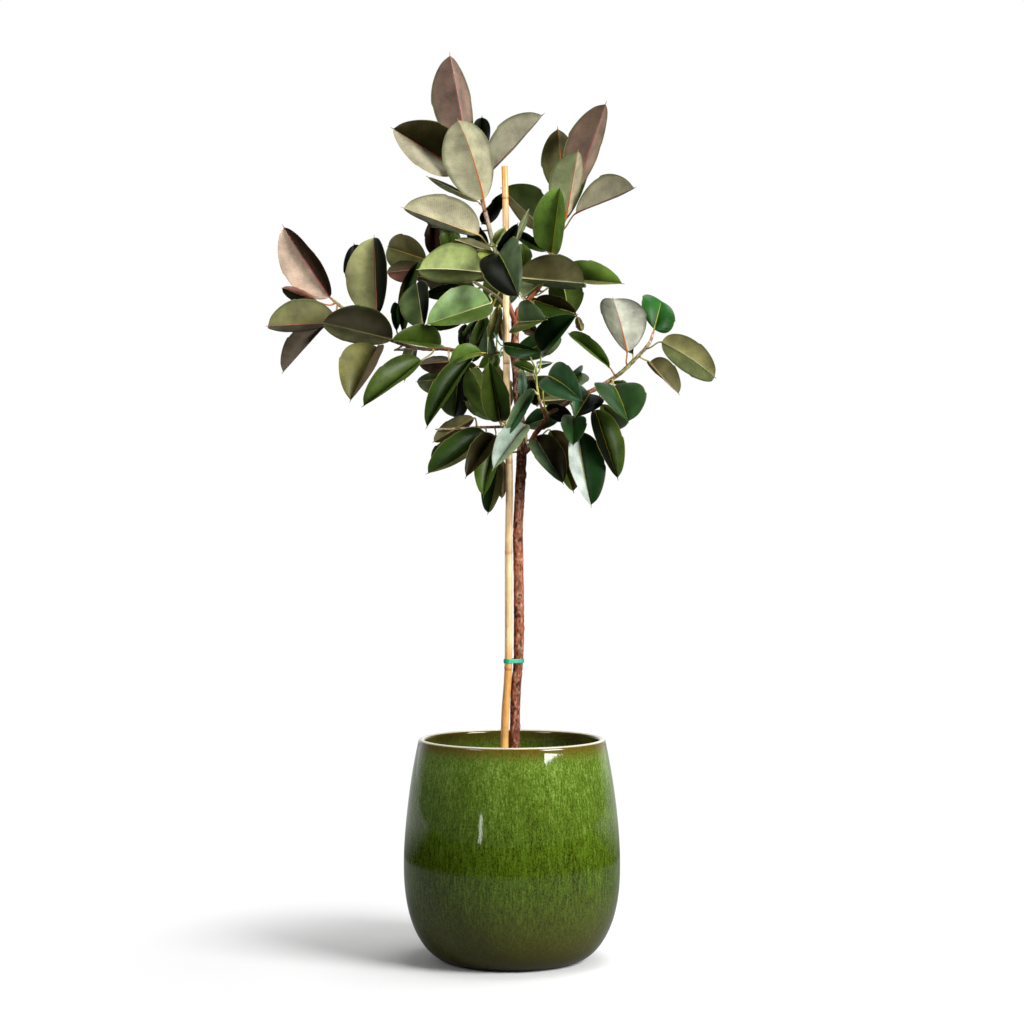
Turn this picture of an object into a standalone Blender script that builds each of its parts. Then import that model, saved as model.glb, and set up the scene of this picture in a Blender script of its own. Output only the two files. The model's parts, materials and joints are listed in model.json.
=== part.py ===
"""Potted rubber plant: a staked, branching Ficus elastica in a round-bellied glazed pot.

Metres, +Z up. The origin is the centre of the pot's flat foot; +X is the plant's right side and
-Y its front. Lengths in the tables are in centimetres. A place in a table is (x, depth, z): x and z
are where the point lines up for someone who stands in front of the pot, and depth is how far it
lies behind the pot's middle plane.
"""
import math
from collections import namedtuple

import bmesh
import bpy
from mathutils import Vector

CM = 0.01
GAP = 0.03                  # clearance between pieces that touch, cm

# Where the layout is seen from: the eye stands this far in front, at this height, cm.
EYE_DISTANCE = 440.0
EYE_HEIGHT = 87.0

# Pot, cm
POT_HEIGHT = 41.2
POT_FOOT_R = 12.0
POT_BELLY_R = 20.2
POT_BELLY_Z = 18.0
POT_NECK_R = 17.55
POT_NECK_Z = 40.5
POT_WALL = 1.3
POT_FLOOR = 1.8
POT_SEGMENTS = 40
SOIL_TOP = 35.0
SOIL_STEPS = 7

# Woody parts, cm
TRUNK_FOOT = 12.0
CANE_FOOT = 6.0
TUBE_SIDES = 8
TIE_SIDES = 20

# Leaves, cm
PETIOLE_R = 0.17
BLADE_HALF_THICKNESS = 0.06
TIP_SHARE = 0.06            # share of the blade's length taken by its drip tip
BLADE_STATIONS = (0.07, 0.22, 0.42, 0.62, 0.80, 0.92)
PETIOLE_STATIONS = (0.0, 0.3, 0.65, 1.0)
UPPER = 1                   # the glossy side of the blade faces the front
UNDER = -1                  # the pale side faces the front

Tube = namedtuple("Tube", "points radii")
Shoot = namedtuple("Shoot", "name parent start points radii colour")
Leaf = namedtuple("Leaf", "name shoot start base tip half left right side colour bow arch belly blunt heart",
                  defaults=(0.0, 0.6, 0.45, 0.6, 0.0))

BARK = (0.24, 0.11, 0.07)
TAN = (0.62, 0.38, 0.20)
GREEN_WOOD = (0.26, 0.28, 0.10)

TRUNK = Tube(
    ((0.3, 0.5, TRUNK_FOOT), (0.4, 0.5, 30), (0.5, 0.5, 41), (0.7, 0.5, 50), (1.2, 0.5, 56), (1.3, 0.5, 65),
     (1.2, 0.5, 74), (1.1, 0.5, 80), (1.4, 0.5, 86), (1.8, 0.6, 94), (2.0, 0.6, 98), (1.6, 0.6, 101),
     (0.95, 0.6, 105), (0.8, 0.6, 109), (0.45, 0.6, 113), (0.6, 0.6, 117), (0.5, 0.7, 119.2)),
    (1.0, 0.98, 0.95, 0.93, 0.92, 0.95, 0.92, 0.94, 0.95, 0.95, 0.85, 0.72, 0.7, 0.72, 0.74, 0.7, 0.66))
# Height, place on the stem (degrees from +X), size of the leaf scars that swell the bark
TRUNK_KNOBS = ((43.5, 300, 0.16), (50.3, 200, 0.18), (58.0, 180, 0.16), (61.6, 330, 0.2), (67.8, 180, 0.2),
               (81.2, 190, 0.22), (87.7, 185, 0.4), (90.4, 310, 0.22), (101.0, 10, 0.18), (108.0, 20, 0.2))
CANE = Tube(
    ((-1.6, -0.7, CANE_FOOT), (-1.4, -0.7, 41), (-0.7, -0.7, 55), (-0.65, -0.7, 76), (-0.5, -0.7, 90),
     (-0.9, -0.7, 104), (-1.1, -0.7, 116), (-1.1, -0.7, 130), (-1.25, -0.7, 142), (-1.4, -0.7, 148.1)),
    (0.74, 0.73, 0.71, 0.69, 0.67, 0.64, 0.62, 0.6, 0.58, 0.57))
CANE_NODES = (54.3, 76.0, 93.0, 111.5, 128.0, 142.3)

LOWER_TIE_Z = 55.6
LOWER_TIE_HEIGHT = 0.7
LOWER_TIE_THICK = 0.12
UPPER_TIE_Z = 114.3
UPPER_TIE_R = 0.12
UPPER_TIE_PITCH = 0.45

SHOOTS = (
    Shoot("leader", "trunk", 1.0,
          ((-0.7, 1.6, 123), (-1.7, 1.7, 127.5), (-2.7, 1.3, 131.7), (-3.4, 0.8, 134.3), (-4.2, 0.4, 137.5),
           (-5.2, 0.2, 141.5), (-6.0, 0.4, 145), (-6.7, 0.6, 148)), (0.55, 0.3), GREEN_WOOD),
    Shoot("right_top_shoot", "trunk", 0.992,
          ((2.4, 1.0, 121), (3.4, 1.1, 123), (4.8, 1.2, 124.6), (6.4, 1.3, 128), (7.4, 1.4, 131.5),
           (8.5, 1.6, 135), (9.7, 1.9, 138), (10.6, 2.2, 141)), (0.5, 0.28), TAN),
    Shoot("left_branch", "trunk", 0.943,
          ((-2.5, 1.4, 113), (-6, 1.6, 113), (-10, 1.6, 113.5), (-13, 1.5, 114), (-17, 1.4, 114),
           (-22.7, 1.3, 115.6), (-28, 1.2, 118.8), (-32, 1.0, 121.9), (-33.6, 0.9, 123.2)), (0.48, 0.26), TAN),
    Shoot("back_left_shoot", "leader", 0.12,
          ((-2.6, 3.6, 123.5), (-5.5, 6.5, 125.5), (-9, 8.5, 127.5), (-12.5, 9.5, 129), (-15.5, 10, 130)),
          (0.36, 0.24), GREEN_WOOD),
    Shoot("low_left_twig", "trunk", 0.808,
          ((-1.5, 1.5, 99.3), (-5, 1.6, 99.3), (-8, 1.4, 99.2), (-11, 1.2, 99), (-14, 1.0, 98.9)),
          (0.3, 0.18), TAN),
    Shoot("right_branch", "trunk", 0.766,
          ((4.2, 0.1, 97.8), (6, -0.3, 100), (7.4, -0.5, 102), (11, -0.7, 104.2), (15.3, -0.8, 106.3),
           (18.6, -0.8, 108.2), (21.3, -0.7, 110.3), (23.2, -0.6, 112.2), (24.8, -0.5, 113.9),
           (25.9, -0.4, 115.4), (26.3, -0.4, 116.6)), (0.55, 0.28), BARK),
    Shoot("centre_shoot", "right_branch", 0.165,
          ((5.2, -1.9, 103), (4.8, -2.0, 106), (4.4, -2.0, 110), (3.7, -2.0, 111.8), (2.8, -2.0, 113.6)),
          (0.32, 0.12), GREEN_WOOD),
    Shoot("back_branch", "trunk", 0.86,
          ((1.6, 3.6, 104.8), (0.8, 7.2, 106.6), (-1.8, 10.4, 109.2), (-3.6, 12.8, 113.6), (-4, 15, 119)),
          (0.42, 0.26), BARK),
)

LEAVES = (
    # crown, on the leader
    Leaf("leaf_crown_1", "leader", 1.0, (-8.2, 0.4, 151.5), (-11.7, -2, 169.5), 4.6, 4.6, 2.2, UNDER,
         (0.15, 0.09, 0.07), belly=0.5),
    Leaf("leaf_crown_2", "leader", 0.9, (-10, 1.8, 147.1), (-22.6, -1, 155.2), 5.3, 2.9, 5.2, UPPER,
         (0.05, 0.05, 0.03), belly=0.42),
    Leaf("leaf_crown_3", "leader", 0.72, (-5.3, -1.8, 142), (-10.3, -7, 157.2), 5.3, 5.3, 3.7, UNDER,
         (0.46, 0.45, 0.28), bow=-0.45, belly=0.5, blunt=0.52),
    Leaf("leaf_crown_4", "leader", 0.84, (-4.4, 1.6, 145.8), (6.3, -1, 157.9), 4.4, 4.3, 0.4, UNDER,
         (0.36, 0.37, 0.27), belly=0.45),
    Leaf("leaf_crown_5", "leader", 0.5, (-6.3, -1.6, 135.6), (-20.8, -6, 140.5), 4.7, 1.8, 4.7, UNDER,
         (0.39, 0.43, 0.23), bow=-0.4),
    Leaf("leaf_crown_6", "leader", 0.3, (-4.2, -0.4, 128.1), (-17.9, -7, 128.8), 4.7, 2.5, 4.7, UNDER,
         (0.39, 0.5, 0.2), bow=-0.4),
    Leaf("leaf_crown_7", "leader", 0.41, (-2.4, -2.2, 131.6), (1.4, -13, 123.4), 4.8, 3.1, 4.7, UPPER,
         (0.04, 0.1, 0.06), bow=0.25, arch=1.4, belly=0.4, blunt=0.5, heart=1.5),
    # right top shoot
    Leaf("leaf_top_right_1", "right_top_shoot", 0.93, (10, 4, 142), (8.5, 6, 155.6), 3.7, 3.6, 3.0, UNDER,
         (0.13, 0.12, 0.06), belly=0.55),
    Leaf("leaf_top_right_2", "right_top_shoot", 1.0, (12, 2.6, 144), (17.7, -2, 160.3), 3.6, 3.3, 3.4, UNDER,
         (0.15, 0.09, 0.07)),
    Leaf("leaf_top_right_3", "right_top_shoot", 0.84, (10.2, -0.6, 138.8), (12.4, -6, 151.3), 4.3, 4.2, 1.7,
         UNDER, (0.27, 0.33, 0.19), belly=0.45),
    Leaf("leaf_top_right_4", "right_top_shoot", 0.8, (12, 0.2, 139.3), (23.2, -6, 144.2), 4.3, 4.2, 0.4,
         UNDER, (0.27, 0.28, 0.22)),
    Leaf("leaf_top_right_5", "right_top_shoot", 0.5, (7.6, -1.6, 132), (9, -7, 144.5), 4.1, 4.1, 1.6, UPPER,
         (0.07, 0.19, 0.04), belly=0.4),
    Leaf("leaf_top_right_6", "right_top_shoot", 0.62, (5.6, 3.4, 136.7), (-2.2, 8, 144.2), 4.0, 1.9, 3.9,
         UNDER, (0.19, 0.22, 0.1)),
    Leaf("leaf_top_right_7", "right_top_shoot", 0.22, (3, -1.6, 127.2), (14, -10, 126.2), 4.8, 4.9, 1.4,
         UNDER, (0.16, 0.17, 0.07), belly=0.5),
    Leaf("leaf_top_right_8", "right_top_shoot", 0.34, (9, 2.6, 127), (21.1, -3, 126.1), 4.0, 3.7, 0.5, UPPER,
         (0.1, 0.19, 0.04)),
    # back left shoot
    Leaf("leaf_back_left_1", "back_left_shoot", 1.0, (-17, 11, 131.2), (-23.7, 19, 134.1), 3.6, 3.0, 3.1,
         UPPER, (0.08, 0.06, 0.03)),
    Leaf("leaf_back_left_2", "back_left_shoot", 0.25, (-4.2, -1.2, 122.4), (-16.4, -8, 118.4), 4.8, 2.2, 4.7,
         UPPER, (0.2, 0.33, 0.14)),
    # left branch
    Leaf("leaf_left_1", "left_branch", 1.0, (-34.3, 0.8, 124.2), (-42.8, -1, 137.2), 4.7, 4.7, 2.0, UPPER,
         (0.74, 0.53, 0.39)),
    Leaf("leaf_left_2", "left_branch", 0.96, (-35.2, 0.0, 118.9), (-46.1, -8, 118.2), 4.6, 1.3, 4.5, UNDER,
         (0.13, 0.12, 0.07), belly=0.4),
    Leaf("leaf_left_3", "left_branch", 0.91, (-35.6, 2.2, 117.6), (-43, 5, 109.4), 2.8, 0.5, 2.7, UNDER,
         (0.11, 0.08, 0.06)),
    Leaf("leaf_left_4", "left_branch", 0.62, (-23.6, -1.6, 115.8), (-35.5, -9, 119.3), 4.5, 2.1, 4.4, UNDER,
         (0.08, 0.07, 0.03)),
    Leaf("leaf_left_5", "left_branch", 0.71, (-25.2, 2.4, 120.4), (-25.8, 5, 135.3), 5.2, 5.2, 2.5, UPPER,
         (0.26, 0.33, 0.16), blunt=0.55),
    Leaf("leaf_left_6", "left_branch", 0.45, (-16.6, -1, 118), (-17.9, -11, 126.4), 3.6, 3.6, 1.9, UNDER,
         (0.08, 0.16, 0.04)),
    Leaf("leaf_left_7", "left_branch", 0.36, (-13.4, -0.8, 114.6), (-22.9, -10, 115.7), 3.5, 0.5, 3.4, UPPER,
         (0.05, 0.11, 0.02)),
    Leaf("leaf_left_8", "left_branch", 0.68, (-25.2, -0.6, 114.2), (-30.4, -9, 103.9), 4.3, 1.3, 4.2, UPPER,
         (0.25, 0.33, 0.13)),
    Leaf("leaf_left_9", "left_branch", 0.42, (-17, -1.2, 112), (-28, -6, 103), 3.4, 0.4, 3.3, UPPER,
         (0.07, 0.13, 0.03), bow=0.4),
    Leaf("leaf_left_10", "left_branch", 0.14, (-7.4, -3, 112.1), (-16.2, -8, 98.9), 3.2, 0.4, 3.1, UPPER,
         (0.05, 0.12, 0.05)),
    # trunk, low on the left
    Leaf("leaf_low_left_1", "low_left_twig", 0.27, (-2.6, -2.4, 100.8), (-8, -11, 110.4), 3.3, 3.0, 2.6,
         UNDER, (0.1, 0.18, 0.05)),
    Leaf("leaf_low_left_2", "left_branch", 0.13, (-4.2, 1.8, 110.9), (-1.8, 7, 101.1), 3.1, 3.0, 3.0, UPPER,
         (0.05, 0.09, 0.02)),
    Leaf("leaf_low_left_3", "low_left_twig", 0.45, (-5, -1, 98.2), (-16.2, -6, 90.5), 4.0, 0.9, 4.0, UPPER,
         (0.03, 0.07, 0.01), bow=1.0),
    Leaf("leaf_low_left_4", "trunk", 0.79, (-2.4, 3.0, 95.4), (-4.6, 7, 82.9), 2.6, 1.1, 2.5, UPPER,
         (0.03, 0.06, 0.02), bow=0.5),
    # right branch and centre shoot
    Leaf("leaf_centre_1", "right_branch", 0.06, (2.4, -4.4, 99.6), (-3.7, -14, 91.2), 3.1, 1.2, 2.9, UPPER,
         (0.12, 0.22, 0.15)),
    Leaf("leaf_centre_2", "trunk", 0.975, (0.5, -2.8, 118.8), (6.6, -12, 119.3), 3.8, 3.8, 1.4,
         UPPER, (0.11, 0.19, 0.15), blunt=0.5),
    Leaf("leaf_centre_3", "centre_shoot", 0.66, (5.7, -3.6, 113.4), (12.3, -12, 120.4), 3.8, 3.7, 1.2, UPPER,
         (0.01, 0.04, 0.01)),
    Leaf("leaf_centre_4", "right_branch", 0.27, (6.8, -4, 108.9), (13.3, -15, 104), 3.8, 3.6, 2.7, UPPER,
         (0.03, 0.08, 0.05), bow=0.4, heart=0.8),
    Leaf("leaf_right_1", "right_branch", 0.66, (19, -3, 107.2), (21.6, -14, 100.2), 4.8, 4.6, 3.7, UPPER,
         (0.03, 0.11, 0.05), bow=0.3, arch=1.2, heart=0.9, blunt=0.5),
    Leaf("leaf_right_2", "right_branch", 0.78, (21.5, 1.6, 113.4), (18.8, -7, 123.6), 4.8, 2.9, 4.8, UNDER,
         (0.64, 0.68, 0.5), bow=-0.2, belly=0.53, blunt=0.5),
    Leaf("leaf_right_3", "right_branch", 1.0, (26.7, -0.2, 118), (28, 10, 123.8), 3.3, 3.0, 3.2, UPPER,
         (0.03, 0.19, 0.05), blunt=0.48),
    Leaf("leaf_right_4", "right_branch", 0.92, (28, -2, 115.2), (38.2, -8, 108.4), 3.6, 3.0, 3.4, UNDER,
         (0.27, 0.32, 0.13), bow=0.6, blunt=0.5),
    Leaf("leaf_right_5", "right_branch", 0.86, (25.6, 1.4, 111.6), (30.5, 8, 105.2), 2.7, 2.5, 0.5, UNDER,
         (0.2, 0.18, 0.13)),
    Leaf("leaf_right_6", "right_branch", 0.69, (18.2, 1.2, 110.5), (10.4, 7, 117), 2.5, 0.4, 2.3, UPPER,
         (0.05, 0.1, 0.02)),
    Leaf("leaf_right_7", "right_branch", 0.52, (15.5, -2.4, 102.4), (19.9, -7, 89.3), 3.2, 3.0, 1.6, UPPER,
         (0.05, 0.11, 0.03)),
    Leaf("leaf_right_8", "right_branch", 0.42, (12.4, -3.4, 98.3), (14.9, -9, 84.2), 4.0, 3.9, 1.8, UPPER,
         (0.03, 0.09, 0.03), bow=-0.4),
    # back branch
    Leaf("leaf_back_1", "back_branch", 1.0, (-3.6, 16.4, 122), (1.5, 18.6, 133), 4.0, 3.7, 3.7, UNDER,
         (0.06, 0.1, 0.04)),
    Leaf("leaf_back_2", "back_branch", 0.9, (-6.6, 14.4, 120), (-15.6, 18.4, 130.5), 4.0, 3.6, 3.6, UPPER,
         (0.04, 0.08, 0.03)),
    Leaf("leaf_back_3", "back_branch", 0.55, (-6.6, 12.8, 110.6), (-13.4, 18.4, 103.6), 3.6, 3.2, 3.2, UNDER,
         (0.06, 0.09, 0.03)),
)


def clear_scene():
    """Remove every object that the opening scene holds."""
    for item in list(bpy.data.objects):
        bpy.data.objects.remove(item, do_unlink=True)


def sight(place):
    """A tabled place (x, depth, z) in cm, moved to its own depth along the line of sight."""
    x, depth, z = place
    spread = (EYE_DISTANCE + depth) / EYE_DISTANCE
    return Vector((x * spread, depth, EYE_HEIGHT + (z - EYE_HEIGHT) * spread))


def principled(name, colour, roughness, metallic=0.0):
    """A plain Principled material of one colour."""
    material = bpy.data.materials.new(name)
    material.use_nodes = True
    shader = material.node_tree.nodes["Principled BSDF"]
    shader.inputs["Base Color"].default_value = (*colour, 1.0)
    shader.inputs["Roughness"].default_value = roughness
    shader.inputs["Metallic"].default_value = metallic
    return material


def add_object(name, bm, material):
    """Turn a bmesh in cm into a smooth object in metres that wears one material."""
    bmesh.ops.scale(bm, vec=(CM, CM, CM), verts=bm.verts)
    bmesh.ops.triangulate(bm, faces=bm.faces)
    bmesh.ops.recalc_face_normals(bm, faces=bm.faces)
    mesh = bpy.data.meshes.new(name)
    bm.to_mesh(mesh)
    bm.free()
    mesh.shade_smooth()
    mesh.set_sharp_from_angle(angle=math.radians(35))
    mesh.materials.append(material)
    item = bpy.data.objects.new(name, mesh)
    bpy.context.scene.collection.objects.link(item)
    return item


def skin(bm, rings):
    """Join rings of equal length with quads, one ring to the next."""
    for lower, upper in zip(rings, rings[1:]):
        count = len(lower)
        for i in range(count):
            j = (i + 1) % count
            bm.faces.new((lower[i], lower[j], upper[j], upper[i]))


def smooth_path(points, per_span):
    """Points of a Catmull-Rom curve through the given ones."""
    ends = [points[0] * 2 - points[1]] + list(points) + [points[-1] * 2 - points[-2]]
    curve = []
    for p0, p1, p2, p3 in zip(ends, ends[1:], ends[2:], ends[3:]):
        for step in range(per_span):
            t = step / per_span
            curve.append(0.5 * (2 * p1 + (p2 - p0) * t + (2 * p0 - 5 * p1 + 4 * p2 - p3) * t ** 2
                                + (3 * p1 - p0 - 3 * p2 + p3) * t ** 3))
    curve.append(points[-1].copy())
    return curve


class Route:
    """A smooth centre line with a radius at each of its points."""

    def __init__(self, points, radii, per_span=2):
        curve = smooth_path(points, per_span)
        self.points = curve[:1]
        for point in curve[1:]:
            if (point - self.points[-1]).length > 0.9 * max(radii):
                self.points.append(point)
        spans = len(self.points) - 1
        self.radii = [self.blend(radii, i / spans) for i in range(spans + 1)]

    @staticmethod
    def blend(values, share):
        """Read an evenly spaced list of values at a share of its length."""
        at = share * (len(values) - 1)
        low = min(int(at), len(values) - 2)
        return values[low] + (values[low + 1] - values[low]) * (at - low)

    def tangent(self, i):
        """Direction of the centre line at point i."""
        before = self.points[max(i - 1, 0)]
        after = self.points[min(i + 1, len(self.points) - 1)]
        return (after - before).normalized()

    def at(self, share):
        """Centre, direction and radius at a share of the length."""
        steps = [(b - a).length for a, b in zip(self.points, self.points[1:])]
        left = share * sum(steps)
        for i, step in enumerate(steps):
            if left <= step or i == len(steps) - 1:
                t = min(left / step, 1.0)
                centre = self.points[i].lerp(self.points[i + 1], t)
                radius = self.radii[i] + (self.radii[i + 1] - self.radii[i]) * t
                return centre, (self.points[i + 1] - self.points[i]).normalized(), radius
            left -= step

    def seat(self, share, towards):
        """Where a side piece starts, clear of the bark, and the direction in which it leaves."""
        centre, tangent, radius = self.at(share)
        if share >= 1.0:
            return centre + tangent * GAP, tangent
        away = towards - centre
        away -= tangent * away.dot(tangent)
        away.normalize()
        return centre + away * (radius + GAP), away


def ring_frame(tangent, start_side):
    """Two directions square to the tangent, the first near start_side."""
    side = (start_side - tangent * start_side.dot(tangent)).normalized()
    return side, tangent.cross(side)


def tube_body(route, swell=None, first_tangent=None, sides=TUBE_SIDES):
    """A closed tube along a route; swell(z, angle) adds to the radius."""
    bm = bmesh.new()
    rings = []
    side = Vector((1, 0, 0.01))
    if abs(route.tangent(0).x) > 0.9:
        side = Vector((0, 1, 0.01))
    for i, (centre, radius) in enumerate(zip(route.points, route.radii)):
        tangent = route.tangent(i)
        if i == 0 and first_tangent is not None:
            tangent = first_tangent
        side, other = ring_frame(tangent, side)
        ring = []
        for k in range(sides):
            angle = 2 * math.pi * k / sides
            r = radius + (swell(centre.z, angle) if swell else 0.0)
            ring.append(bm.verts.new(centre + side * (r * math.cos(angle)) + other * (r * math.sin(angle))))
        rings.append(ring)
    skin(bm, rings)
    bm.faces.new(rings[0])
    bm.faces.new(rings[-1])
    return bm


def pot_outer_radius(z):
    """Outer radius of the pot: a rounded foot up to the belly, then a gentle draw-in to the neck."""
    if z < POT_BELLY_Z:
        drop = (POT_BELLY_Z - z) / POT_BELLY_Z
        return POT_FOOT_R + (POT_BELLY_R - POT_FOOT_R) * (1 - drop ** 2.4) ** 0.55
    rise = (z - POT_BELLY_Z) / (POT_NECK_Z - POT_BELLY_Z)
    return POT_BELLY_R - (POT_BELLY_R - POT_NECK_R) * rise ** 1.8


def pot_inner_radius(z):
    """Radius of the pot's hollow at a height."""
    return pot_outer_radius(z) - POT_WALL


def soil_levels():
    """Heights that the pot's inner wall and the soil share."""
    low = POT_FLOOR + 3.0
    return [low + (SOIL_TOP - low) * i / (SOIL_STEPS - 1) for i in range(SOIL_STEPS)]


def revolve(profile):
    """Turn a list of (radius, height) into a body closed on the axis at both ends."""
    bm = bmesh.new()
    rings = []
    for radius, z in profile:
        ring = []
        for k in range(POT_SEGMENTS):
            angle = 2 * math.pi * k / POT_SEGMENTS
            ring.append(bm.verts.new((radius * math.cos(angle), radius * math.sin(angle), z)))
        rings.append(ring)
    skin(bm, rings)
    bm.faces.new(rings[0])
    bm.faces.new(rings[-1])
    return bm


def make_pot():
    """The glazed pot: outer wall, rounded lip, inner wall and floor."""
    outer = [(POT_FOOT_R, 0.0)]
    outer += [(pot_outer_radius(z), z) for z in (0.35, 1.2, 2.6, 4.6, 7.5, 11.5, 18.0, 24.0, 30.0, 35.5)]
    lip_mid = POT_NECK_R - POT_WALL / 2
    lip = [(lip_mid + POT_WALL / 2 * math.cos(a), POT_NECK_Z + POT_WALL / 2 * math.sin(a))
           for a in [math.pi * i / 6 for i in range(7)]]
    inner = [(pot_inner_radius(z), z) for z in [37.8] + soil_levels()[::-1]]
    floor = [(pot_inner_radius(soil_levels()[0]) - 2.5, POT_FLOOR)]
    bm = revolve(outer + lip + inner + floor)
    return add_object("pot", bm, principled("pot_glaze", (0.09, 0.2, 0.03), 0.15))


def cutter(name, route):
    """A hidden tube that bores the soil for a stem."""
    foot = route.points[0] - route.tangent(0) * GAP
    wider = Route([foot] + route.points[1:], [r + GAP for r in route.radii], 1)
    item = add_object(name, tube_body(wider), principled(name, (1, 0, 0), 1.0))
    item.hide_render = True
    item.display_type = "WIRE"
    item.hide_viewport = True
    return item


def make_soil(stems):
    """The root ball that fills the pot, bored for the trunk and the cane."""
    levels = soil_levels()
    profile = [(pot_inner_radius(levels[0]) - 2.5 - GAP, POT_FLOOR + GAP)]
    profile += [(pot_inner_radius(z) - GAP, z) for z in levels]
    profile += [(9.0, SOIL_TOP + 0.25), (3.6, SOIL_TOP + 0.6)]
    item = add_object("soil", revolve(profile), principled("potting_soil", (0.05, 0.03, 0.02), 0.95))
    for name, route in stems:
        bore = item.modifiers.new(name, "BOOLEAN")
        bore.operation = "DIFFERENCE"
        bore.solver = "EXACT"
        bore.object = cutter(name + "_bore", route)
    return item


def trunk_swell(z, angle):
    """Extra radius of the trunk where a knob sits."""
    total = 0.0
    for height, around, size in TRUNK_KNOBS:
        turn = math.radians(around) - angle
        total += size * math.exp(-((z - height) / 0.9) ** 2) * max(math.cos(turn), 0.0)
    return total


def stem_route(tube, per_span=2):
    """Route of the trunk or the cane from its table."""
    return Route([sight(p) for p in tube.points], tube.radii, per_span)


def belt_loop(route, z, offset, sides=TIE_SIDES):
    """Horizontal loop around the trunk and the cane, offset from both."""
    circles = []
    for stem in route:
        centre = min(stem.points, key=lambda p: abs(p.z - z))
        i = stem.points.index(centre)
        j = min(max(i + (1 if centre.z < z else -1), 0), len(stem.points) - 1)
        share = (z - centre.z) / (stem.points[j].z - centre.z) if j != i else 0.0
        middle = centre.lerp(stem.points[j], share)
        circles.append((middle, max(stem.radii[i], stem.radii[j]) + offset))
    loop = []
    for k in range(sides):
        angle = 2 * math.pi * (k + 0.5) / sides
        out = Vector((math.cos(angle), math.sin(angle), 0))
        middle, radius = max(circles, key=lambda c: c[0].dot(out) + c[1])
        point = middle + out * radius
        loop.append(Vector((point.x, point.y, z)))
    return loop


def make_lower_tie(trunk, cane):
    """The flat band around trunk and cane."""
    bm = bmesh.new()
    low = LOWER_TIE_Z - LOWER_TIE_HEIGHT / 2
    high = LOWER_TIE_Z + LOWER_TIE_HEIGHT / 2
    near, far = GAP * 2, GAP * 2 + LOWER_TIE_THICK
    loops = [[bm.verts.new(p) for p in belt_loop((trunk, cane), z, offset)]
             for z, offset in ((low, near), (low, far), (high, far), (high, near))]
    skin(bm, loops + [loops[0]])
    return add_object("tie_lower", bm, principled("tie_green", (0.02, 0.42, 0.24), 0.4))


def make_upper_tie(trunk, cane):
    """The wire tie: one turn around trunk and cane with both ends left free."""
    turn = belt_loop((trunk, cane), UPPER_TIE_Z, UPPER_TIE_R + GAP * 2)
    start = min(range(len(turn)), key=lambda i: turn[i].x)
    turn = turn[start:] + turn[:start + 1]
    wrap = [p + Vector((0, 0, UPPER_TIE_PITCH * (0.5 - i / (len(turn) - 1)))) for i, p in enumerate(turn)]
    tail_up = [sight((-3.1, 0.4, 116.3)), sight((-2.45, 0.0, 115.2))]
    tail_down = [sight((-2.15, -1.3, 113.3)), sight((-2.2, -1.4, 111.9))]
    bm = tube_body(Route(tail_up + wrap + tail_down, (UPPER_TIE_R, UPPER_TIE_R), 1), sides=6)
    return add_object("tie_upper", bm, principled("tie_mint", (0.1, 0.62, 0.4), 0.35))


def make_cane(route):
    """The bamboo cane with its raised nodes."""
    def node_swell(z, angle):
        return sum(0.05 * math.exp(-((z - height) / 0.8) ** 2) for height in CANE_NODES)
    return add_object("cane", tube_body(route, node_swell), principled("bamboo", (0.84, 0.6, 0.28), 0.5))


def make_shoots(routes):
    """Every branch and shoot, seated on the stem that carries it."""
    for shoot in SHOOTS:
        places = [sight(p) for p in shoot.points]
        seat, away = routes[shoot.parent].seat(shoot.start, places[0])
        reach = (places[0] - seat).length
        first = seat + away * min(1.3 * shoot.radii[0], reach * 0.4)
        route = Route([seat, first] + places, shoot.radii)
        routes[shoot.name] = route
        add_object(shoot.name, tube_body(route, first_tangent=away),
                   principled(shoot.name + "_bark", shoot.colour, 0.75))


def blade_share(leaf, u):
    """Half-width of the blade at u from base (0) to tip (1), as a share of its widest."""
    body = min(u / (1 - TIP_SHARE * 0.8), 1.0)
    power = math.log(0.5) / math.log(leaf.belly)
    return max(math.sin(math.pi * body ** power), 0.0) ** leaf.blunt


def leaf_frame(leaf):
    """Base, tip, and the directions to the left and to the front that the leaf is laid out in."""
    base, tip = sight(leaf.base), sight(leaf.tip)
    eye = Vector((0, -EYE_DISTANCE, EYE_HEIGHT))
    along = (tip - base).normalized()
    look = ((base + tip) / 2 - eye).normalized()
    left = along.cross(look).normalized()
    front = along.cross(left).normalized()
    return base, tip, left, front


def bezier(points, t):
    """Point on the Bezier curve of any order."""
    while len(points) > 1:
        points = [a.lerp(b, t) for a, b in zip(points, points[1:])]
    return points[0]


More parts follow.
